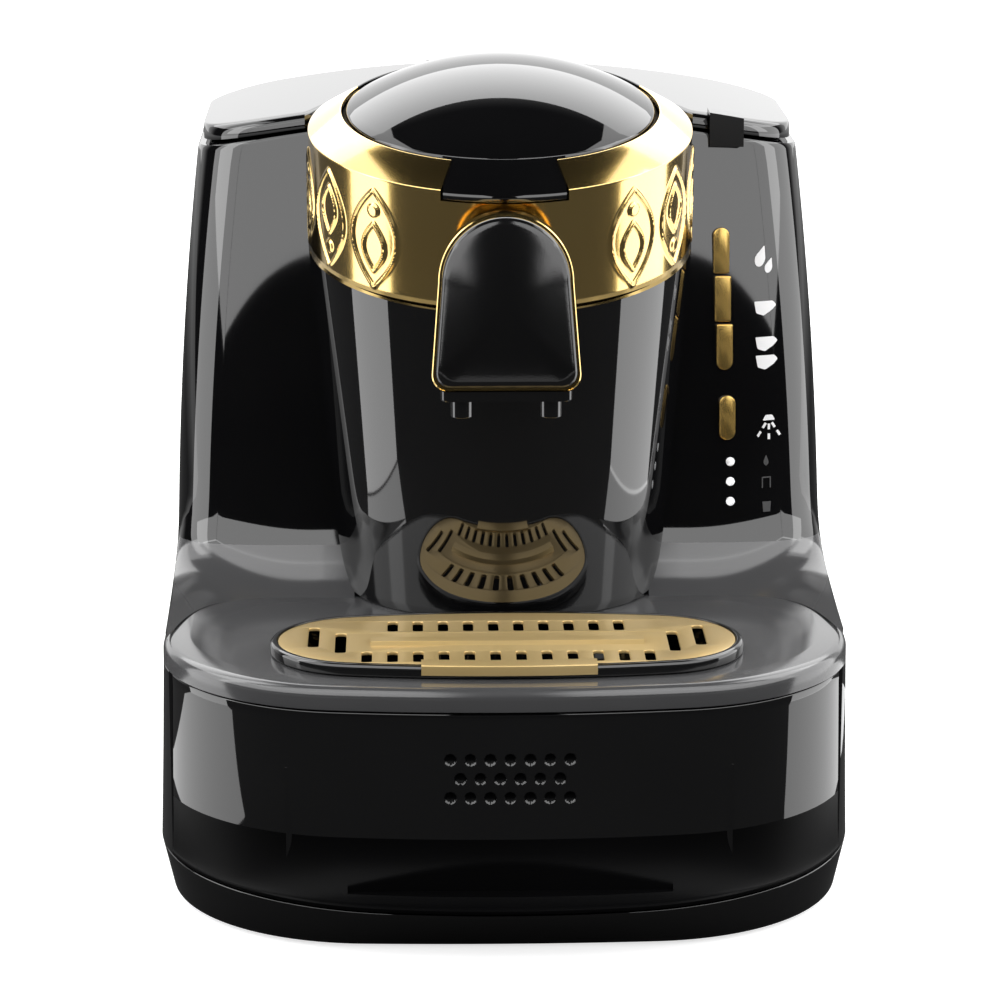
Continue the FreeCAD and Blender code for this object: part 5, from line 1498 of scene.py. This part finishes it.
@dataclass
class Spout:
    """Black shield of the spout with its gold edge and nozzles."""

    arch: float = 20.6
    top: float = 227.7
    low: float = 173.8
    half: float = 23.2
    back: float = -58.0
    front_low: float = -76.0
    front_top: float = -67.0
    corner: float = 5.0
    edge: float = 2.6
    bow: float = 0.9
    wall: float = 2.5
    trim_fit: float = 0.08
    trim_thick: float = 1.05
    plate_half: float = 21.0
    plate_front: float = -73.6
    plate_back: float = -58.4
    plate_thick: float = 3.4
    bore: float = 2.5
    tube_radius: float = 3.5
    tube_place: float = 14.3
    tube_depth: float = -68.0
    tube_low: float = 163.4

    def outline(self, grow: float) -> np.ndarray:
        """Front outline: round arch above sides that spread to a foot with round corners.

        Args:
            grow: How far the outline is grown.

        Returns:
            Points x 2, across and up.
        """
        radius = self.arch + grow
        centre = self.top - self.arch
        half = self.half + grow
        low = self.low - grow
        bend = self.corner
        foot = fillet([(radius, centre, 0), (half, low, bend), (-half, low, bend), (-radius, centre, 0)],
                      closed=False, steps=8)
        side = straight((radius, centre), tuple(foot[1]), 14)
        arch = arc(0, centre, radius, math.pi, 0, 64)
        other = straight(tuple(foot[-2]), (-radius, centre), 14)
        bottom = straight(tuple(foot[9]), tuple(foot[10]), 12)[1:]
        return np.concatenate([arch, side, foot[1:10], bottom, foot[10:-2], other])

    def front_depth(self, z: np.ndarray) -> np.ndarray:
        """Depth of the leaning front face at a height."""
        return self.front_low + (z - self.low) * (self.front_top - self.front_low) / (self.top - self.low)

    def shield(self) -> None:
        """Make the shield: straight sides, rounded front edge and a gently bowed face."""
        rows = [self._ring(0.0, self.back, None), self._ring(0.0, None, self.edge)]
        for turn in np.radians(np.linspace(15, 90, 6)):
            rows.append(self._ring(-self.edge * (1 - math.cos(turn)), None, self.edge * (1 - math.sin(turn))))
        base = rows[-1]
        middle = np.array([0.0, 0.0, (self.top + self.low) / 2])
        for share in (0.9, 0.7, 0.45, 0.2, 0.02):
            row = middle + (base - middle) * share
            row[:, 1] = self.front_depth(row[:, 2]) - self.bow * (1 - share ** 2)
            rows.append(row)
        inner = [self._ring(-self.wall, None, 4.0), self._ring(-self.wall, self.back, None)]
        shape = Shape().grid(np.stack(rows), wrap_columns=True).cap(rows[-1])
        shape.grid(np.stack(inner), wrap_columns=True).cap(inner[0])
        shape.grid(np.stack([rows[0], inner[1]]), wrap_columns=True)
        shape.write("spout_front", SPOUT_BLACK, "machine", ["spout_shield"])

    def _ring(self, grow: float, depth: Optional[float], behind: Optional[float]) -> np.ndarray:
        """Outline at one depth, or at a distance behind the leaning face.

        Args:
            grow: How far the outline is grown.
            depth: Depth of a ring square to the machine.
            behind: Distance behind the leaning face.

        Returns:
            Points x 3.
        """
        flat = self.outline(grow)
        y = self.front_depth(flat[:, 1]) + behind if depth is None else np.full(len(flat), depth)
        return np.stack([flat[:, 0], y, flat[:, 1]], axis=-1)

    def trim(self) -> None:
        """Make the gold edge: a thin band round the shield."""
        behind = self.edge + 0.2
        fit, thick = self.trim_fit, self.trim_thick
        rows = [self._ring(fit, self.back, None), self._ring(thick, self.back, None),
                self._ring(thick, None, behind + 0.35), self._ring(thick - 0.3, None, behind),
                self._ring(fit, None, behind)]
        shape = Shape().grid(np.stack(rows), wrap_rows=True, wrap_columns=True)
        shape.write("spout_edge", GOLD, "machine", ["spout_trim"])

    def nozzles(self) -> None:
        """Make the plate under the shield and the two tubes with their lips."""
        low = self.low - 1.1 - self.plate_thick
        half, near, far = self.plate_half, self.plate_front, self.plate_back
        foot = fillet([(-half, near, 2.5), (half, near, 2.5), (half, far, 1.0), (-half, far, 1.0)])
        shape = Shape().loft(np.stack([level(foot, self.low - 1.15), level(foot, low + 0.5),
                                       level(foot * (0.985, 0.997), low)]))
        turn = np.linspace(0, 360, 48, endpoint=False)
        lip, bore, radius = self.tube_low, self.bore, self.tube_radius
        section = fillet([(bore, lip, 0.3), (radius, lip, 0.4), (radius, low + 1, 0), (bore, low + 1, 0)])
        for side in (-1, 1):
            tube = revolve(section, turn) + (side * self.tube_place, self.tube_depth, 0.0)
            shape.grid(tube, wrap_rows=True, wrap_columns=True)
        shape.write("nozzles", GLOSS, "machine", ["nozzle_block"])


KEYS = (   # node, body, place across, height, length, and whether its foot and its head are round
    ("button_heat", "heat_button", 75.6, 201.6, 15.6, (False, True)),
    ("button_one_cup", "one_cup_button", 76.1, 185.4, 15.6, (False, False)),
    ("button_two_cups", "two_cups_button", 76.7, 169.2, 15.6, (True, False)),
    ("button_rinse", "rinse_button", 77.6, 145.4, 15.2, (True, True)),
)


@dataclass
class Panel:
    """Gold buttons and printed signs on the right lobe."""

    wide: float = 5.6
    proud: float = 1.6
    key_lean: float = 0.10
    key_deep: float = 4.0        # behind the lobe's front
    stem_radius: float = 1.4
    stem_reach: float = 8.9
    print_thick: float = 0.22
    print_sink: float = 0.13     # behind the lobe's front

    def buttons(self, lobes: Lobes) -> None:
        """Make the four gold buttons, each a bar with bevelled front edges.

        Args:
            lobes: The casing that carries them.
        """
        turn = np.linspace(0, 360, 24, endpoint=False)
        stem = np.array([(self.stem_radius, 2.0), (self.stem_radius, self.stem_reach)])
        stem = revolve(stem, turn)[..., [0, 2, 1]]
        front = -self.proud
        for node, body, x, z, tall, round_ends in KEYS:
            half, up = self.wide / 2, tall / 2
            foot, head = (half - 0.06 if is_round else 0.5 for is_round in round_ends)
            ring = fillet([(-half, -up, foot), (half, -up, foot), (half, up, head), (-half, up, head)],
                          steps=8)
            rows = []
            for gap, y in ((0, self.key_deep), (0, front + 0.35), (0.1, front + 0.1), (0.4, front)):
                flat = ring * ((half - gap) / half, (up - gap) / up)
                rows.append(np.stack([flat[:, 0], np.full(len(flat), y), flat[:, 1]], axis=-1))
            lean = Matrix.Rotation(-math.atan(self.key_lean), 4, "X")
            place = Matrix.Translation((x, lobes.face_depth(x, z), z)) @ lean
            shape = Shape().loft(np.stack(rows)).loft(stem)
            shape.write(node.replace("button", "key"), KEY_GOLD, body, [node], place)

    def signs(self, lobes: Lobes) -> None:
        """Make the signs beside the buttons: thin shapes laid on the lobe's front.

        Args:
            lobes: The casing that carries them.
        """
        bowl = fillet([(-3.9, 2.4, 0.3), (2.6, 2.4, 0.9), (4.0, 1.0, 0.6), (2.4, -0.6, 0.8),
                       (-0.6, -2.4, 0.9), (-3.2, -1.5, 0.8)], steps=3)
        leaf = fillet([(-0.9, -3.6, 1.4), (2.0, -0.6, 3.4), (1.7, 4.8, 0.2), (-2.2, 0.6, 3.0)], steps=6)
        white = [(leaf - (0.9, 0.0), 90.0, 197.9), (leaf * 0.72 + (1.9, -1.9), 90.2, 196.9),
                 (bowl, 91.0, 181.5), (bowl, 91.4, 169.5), (bowl, 91.5, 163.3)]
        white += [(part, 92.2, 142.6) for part in self._sprinkler()]
        drop = fillet([(-1.5, -1.2, 1.2), (1.5, -1.2, 1.2), (0, 2.4, 0.1)], steps=5)
        bucket = np.array([(-1.5, 1.4), (1.5, 1.4), (1.2, -2.0), (-1.2, -2.0)])
        arch = (((-1.6, -1.9), (-1.2, 1.8)), ((1.2, -1.9), (1.6, 1.8)), ((-1.6, 1.4), (1.6, 1.8)))
        faint = [(drop, 91.2, 129.8), (bucket, 91.4, 115.0)]
        for (left, low), (right, high) in arch:
            bar = np.array([(left, low), (right, low), (right, high), (left, high)])
            faint.append((bar, 91.3, 123.0))
        self._lay("signs_white", white, PRINT, lobes)
        self._lay("signs_faint", faint, FAINT_PRINT, lobes)

    def _sprinkler(self) -> list[np.ndarray]:
        """Marks of the rinse sign: two dashes along each of three rays, under a small head.

        Returns:
            Outlines, points x 2 each.
        """
        marks = []
        for way in np.radians([-33.0, 0.0, 33.0]):
            out = np.array([math.sin(way), -math.cos(way)])
            across = np.array([math.cos(way), math.sin(way)]) * 0.42
            for near, far in ((2.0, 3.9), (5.3, 7.2)):
                dash = np.stack([out * near - across, out * near + across, out * far + across,
                                 out * far - across])
                marks.append(dash + (0, 2.0))
        head = [(-2.2, 1.2, 0.2), (2.2, 1.2, 0.2), (1.2, 3.0, 0.8), (-1.2, 3.0, 0.8)]
        return marks + [fillet(head, steps=3)]

    def _lay(self, name: str, marks: Sequence[tuple[np.ndarray, float, float]], finish: Finish,
             lobes: Lobes) -> None:
        """Lay flat marks on the lobe's front as one thin piece, in rings from the middle to the edge.

        Args:
            name: Name of the piece.
            marks: Outline, place across and height of each mark.
            finish: Their finish.
            lobes: The casing that carries them.
        """
        shape = Shape()
        for edge, x, z in marks:
            middle = edge.mean(axis=0)
            rows = []
            for share in (0.05, 0.35, 0.7, 1.0):
                flat = middle + (edge - middle) * share + (x, z)
                depth = np.array([lobes.face_depth(a, b) for a, b in flat.tolist()])
                rows.append(np.stack([flat[:, 0], depth - self.print_thick, flat[:, 1]], axis=-1))
            rows.append(rows[-1] + (0, self.print_thick + self.print_sink, 0))
            shape.loft(np.stack(rows))
        shape.write(name, finish, "machine")


COPIES = (
    ("rubber_feet", "feet", RUBBER, "machine"),
    ("base_screws", "pan_screws", STEEL, "machine"),
    ("waste_tank", "waste_bin", SATIN, "drawer"),
    ("led_guides", "lamps", LAMP, "machine"),
    ("control_board", "key_board", BOARD, "machine"),
    ("button_switches", "key_switches", GREY, "machine"),
    ("buzzer", "sounder", SATIN, "machine"),
    ("lid_hinge_pin", "lid_pin", STEEL, "machine"),
    ("lid_liner", "lid_lining", SATIN, "brew_lid"),
    ("lid_gasket", "lid_seal", RUBBER, "brew_lid"),
    ("lid_magnet", "magnet", STEEL, "brew_lid"),
    ("head_body", "head_core", SATIN, "machine"),
    ("brew_pot", "pot", STEEL, "machine"),
    ("heater_disc", "heater", STEEL, "machine"),
    ("thermostat", "heat_sensor", GREY, "machine"),
    ("lid_sensor", "lid_switch", SATIN, "machine"),
    ("spray_nozzle", "fill_nozzle", GREY, "machine"),
    ("spout_neck", "neck", GOLD, "machine"),
    ("water_tank", "tank_wall", SMOKED, "tank"),
    ("tank_lid_pins", "cover_pins", STEEL, "tank"),
    ("tank_lid_tab", "cover_tab", SPOUT_BLACK, "tank_cover"),
    ("tank_valve_seat", "outlet_seat", SATIN, "machine"),
    ("tank_valve_poppet", "outlet_plunger", GREY, "outlet_poppet"),
    ("brew_valve_body", "valve_block", GREY, "machine"),
    ("brew_valve_plunger", "valve_stem", GREY, "brew_plunger"),
    ("valve_solenoid", "valve_coil", WINDING, "machine"),
    ("pump", "water_pump", GREY, "machine"),
    ("pump_bracket", "pump_stand", SATIN, "machine"),
    ("suction_pipe", "pipe_to_pump", SILICONE, "machine"),
    ("delivery_pipe", "pipe_to_head", SILICONE, "machine"),
    ("drain_pipe", "pipe_to_bin", SILICONE, "machine"),
    ("spout_channel", "coffee_channel", STEEL, "machine"),
    ("power_board", "mains_board", BOARD, "machine"),
    ("power_transformer", "transformer", WINDING, "machine"),
    ("power_relays", "relays", GREY, "machine"),
    ("cord_gland", "gland", RUBBER, "machine"),
)
SPRINGS = ("tank_valve_spring", "brew_valve_spring")
LAMPS = (   # name, place, aim, size, in metres, and radiance, where 1 is white
    ("left_box", (-0.40, -0.036, 0.36), (0.0, -0.036, 0.36), (0.20, 0.72), 2.48),
    ("right_box", (0.40, 0.03, 0.36), (0.0, 0.03, 0.36), (0.28, 0.72), 2.48),
    ("left_low", (-0.29, -0.036, 0.002), (-0.29, -0.036, 1.0), (0.20, 0.20), 1.62),
    ("right_low", (0.29, 0.03, 0.002), (0.29, 0.03, 1.0), (0.22, 0.28), 1.62),
    ("front_left", (-0.71, -1.0, 0.855), (-0.71, 0.0, 0.855), (1.22, 0.94), 2.27),
    ("front_right", (0.75, -1.0, 0.855), (0.75, 0.0, 0.855), (1.22, 0.94), 2.27),
    ("over_left", (-0.86, 0.16, 0.95), (-0.86, 0.16, 0.0), (0.88, 0.52), 1.73),
    ("over_right", (0.86, 0.16, 0.95), (0.86, 0.16, 0.0), (0.88, 0.52), 1.73),
    ("over_back", (0.0, 0.92, 0.95), (0.0, 0.92, 0.0), (2.6, 1.0), 2.90),
    ("side_left", (-1.33, -0.55, 0.845), (0.0, -0.55, 0.845), (0.90, 0.95), 2.27),
    ("side_right", (1.37, -0.55, 0.845), (0.0, -0.55, 0.845), (0.90, 0.95), 2.27),
    ("over_front_left", (-0.76, -0.68, 1.30), (-0.76, -0.68, 0.0), (1.30, 0.70), 2.27),
    ("over_front_right", (0.80, -0.68, 1.30), (0.80, -0.68, 0.0), (1.30, 0.70), 2.27),
    ("back_wall", (0.0, 1.42, 0.55), (0.0, 0.0, 0.55), (2.6, 0.8), 0.86),
)
GLOWS = (   # ray, distances between which the floor's glow changes, in metres, and the glow at each
    ("Is Camera Ray", 0.15, 0.8, 0.72, 1.0),
    ("Is Glossy Ray", 1.2, 2.6, 0.0, 0.54),
    ("Is Transmission Ray", 0.6, 1.2, 0.0, 1.0),
)


@dataclass
class Studio:
    """Floor, lamps, world and camera."""

    eye: tuple[float, float, float] = (-32.1, -1299.6, 434.3)
    yaw: float = 1.4
    pitch: float = 13.62
    lens: float = 141.38
    floor_edge: float = 6.0      # metres
    floor_dark: float = 0.045    # tone of the floor in reflections
    horizon: tuple[float, float] = (0.42, 0.75)
    sky: tuple[float, float] = (0.014, 0.74)

    def camera(self) -> None:
        """Put the camera where the photograph was taken from."""
        data = bpy.data.cameras.new("eye")
        data.lens = self.lens
        data.sensor_width = 36.0
        data.clip_end = 20.0
        camera = enter("eye", data)
        camera.location = Vector(self.eye) * MM
        camera.rotation_euler = (math.radians(90 - self.pitch), 0.0, -math.radians(self.yaw))
        bpy.context.scene.camera = camera

    def floor(self) -> None:
        """Make the floor: pale, and white farther out."""
        mesh = bpy.data.meshes.new("floor")
        edge = self.floor_edge
        mesh.from_pydata([(-edge, -edge, 0), (edge, -edge, 0), (edge, edge, 0), (-edge, edge, 0)], [],
                         [(0, 1, 2, 3)])
        paint = bpy.data.materials.new("pale_floor")
        paint.use_nodes = True
        tree = paint.node_tree
        shader = tree.nodes["Principled BSDF"]
        fill_inputs(tree, shader, {
            "Roughness": 0.9, "Specular IOR Level": 0.0, "Emission Color": (1, 1, 1, 1)})
        place = tree.nodes.new("ShaderNodeTexCoord")
        noise = add_node(tree, "ShaderNodeTexNoise", {"Vector": place.outputs["Object"], "Scale": 3.0})
        ramp = add_node(tree, "ShaderNodeValToRGB", {"Fac": noise.outputs["Fac"]})
        for stop, tone in zip(ramp.color_ramp.elements, (0.58, 0.62)):
            stop.color = (tone, tone, tone, 1)
        self._backdrop(tree, place, shader, ramp)
        mesh.materials.append(paint)
        floor = enter("floor", mesh)

    def _backdrop(self, tree: bpy.types.NodeTree, place: bpy.types.Node, shader: bpy.types.Node,
                  paint: bpy.types.Node) -> None:
        """Let the floor fade to light with its distance from the machine, for each kind of ray in GLOWS.

        Args:
            tree: Node tree of the floor.
            place: Node with its object coordinates.
            shader: Its principled node.
            paint: Node with its pale colour, which only the eye sees: in reflections it is dark.
        """
        path = tree.nodes.new("ShaderNodeLightPath")
        far = tree.nodes.new("ShaderNodeVectorMath")
        far.operation = "LENGTH"
        tree.links.new(place.outputs["Object"], far.inputs[0])
        glows = []
        for seen_by, near, away, least, most in GLOWS:
            fade = add_node(tree, "ShaderNodeMapRange", {
                "Value": far.outputs["Value"], "From Min": near, "From Max": away, "To Min": least,
                "To Max": most})
            seen = tree.nodes.new("ShaderNodeMath")
            seen.operation = "MULTIPLY"
            tree.links.new(path.outputs[seen_by], seen.inputs[0])
            tree.links.new(fade.outputs["Result"], seen.inputs[1])
            glows.append(seen)
        total = glows[0]
        for glow in glows[1:]:
            both = tree.nodes.new("ShaderNodeMath")
            both.operation = "MAXIMUM"
            tree.links.new(total.outputs["Value"], both.inputs[0])
            tree.links.new(glow.outputs["Value"], both.inputs[1])
            total = both
        tree.links.new(total.outputs["Value"], shader.inputs["Emission Strength"])
        tone = tree.nodes.new("ShaderNodeMix")
        tone.data_type = "RGBA"
        tone.inputs[6].default_value = (self.floor_dark, self.floor_dark, self.floor_dark, 1)
        tree.links.new(path.outputs["Is Camera Ray"], tone.inputs[0])
        tree.links.new(paint.outputs["Color"], tone.inputs[7])
        tree.links.new(tone.outputs[2], shader.inputs["Base Color"])

    def lamp(self, name: str, place: tuple[float, float, float], aim: tuple[float, float, float],
             size: tuple[float, float], glow: float) -> None:
        """Add a soft box. Its power is its radiance times its area times pi.

        Args:
            name: Name of the lamp.
            place: Where it stands, in metres.
            aim: Where it looks.
            size: Width and height, in metres.
            glow: Radiance, where 1 is white.
        """
        data = bpy.data.lights.new(name, "AREA")
        data.shape = "RECTANGLE"
        data.size, data.size_y = size
        data.energy = glow * size[0] * size[1] * math.pi
        light = enter(name, data)
        light.location = place
        light.rotation_euler = (Vector(aim) - Vector(place)).to_track_quat("-Z", "Y").to_euler()
        light.visible_camera = False

    def world(self) -> None:
        """Make the world: white to the eye; to light and reflections dark in front, bright at the back."""
        world = bpy.data.worlds.new("studio")
        bpy.context.scene.world = world
        world.use_nodes = True
        tree = world.node_tree
        back = tree.nodes["Background"]
        path = tree.nodes.new("ShaderNodeLightPath")
        place = tree.nodes.new("ShaderNodeTexCoord")
        split = add_node(tree, "ShaderNodeSeparateXYZ", {"Vector": place.outputs["Generated"]})
        ramp = add_node(tree, "ShaderNodeMapRange", {
            "Value": split.outputs["Y"], "From Min": self.horizon[0], "From Max": self.horizon[1],
            "To Min": self.sky[0], "To Max": self.sky[1]})
        ramp.interpolation_type = "SMOOTHSTEP"
        mix = tree.nodes.new("ShaderNodeMix")
        mix.data_type = "FLOAT"
        fill_inputs(tree, mix, {
            "Factor": path.outputs["Is Camera Ray"], "A": ramp.outputs["Result"], "B": 1.0})
        fill_inputs(tree, back, {"Strength": mix.outputs["Result"], "Color": (1, 1, 1, 1)})

    def make(self) -> None:
        """Make the whole studio."""
        self.camera()
        self.floor()
        self.world()
        for lamp in LAMPS:
            self.lamp(*lamp)


def main() -> None:
    """Build every sub-assembly round the frame and light it."""
    logging.basicConfig(level=logging.INFO, format="%(name)s %(message)s")
    bpy.context.scene.view_settings.view_transform = "Standard"
    Studio().make()
    base = Base()
    tray = Tray()
    head = Head()
    lobes = Lobes()
    base.pan()
    base.walls()
    base.deck(tray)
    base.fascia()
    tray.bowl()
    tray.plate()
    Column().make(head)
    lobes.casing()
    lobes.lid(head)
    head.band()
    head.rear()
    head.lid()
    spout = Spout()
    spout.shield()
    spout.trim()
    spout.nozzles()
    panel = Panel()
    panel.buttons(lobes)
    panel.signs(lobes)
    for node, name, finish, body in COPIES:
        copy_of(node, name, finish, body)
    for node in SPRINGS:
        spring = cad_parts[node]
        spring.data.materials.clear()
        spring.data.materials.append(STEEL.material())


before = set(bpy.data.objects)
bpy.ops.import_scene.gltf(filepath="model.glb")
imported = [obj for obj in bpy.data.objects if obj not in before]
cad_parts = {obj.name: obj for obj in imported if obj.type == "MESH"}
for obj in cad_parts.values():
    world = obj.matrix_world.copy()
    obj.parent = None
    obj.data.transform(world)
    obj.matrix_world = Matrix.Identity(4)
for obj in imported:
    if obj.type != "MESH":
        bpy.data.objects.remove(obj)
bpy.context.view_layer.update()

if __name__ == "__main__":
    main()
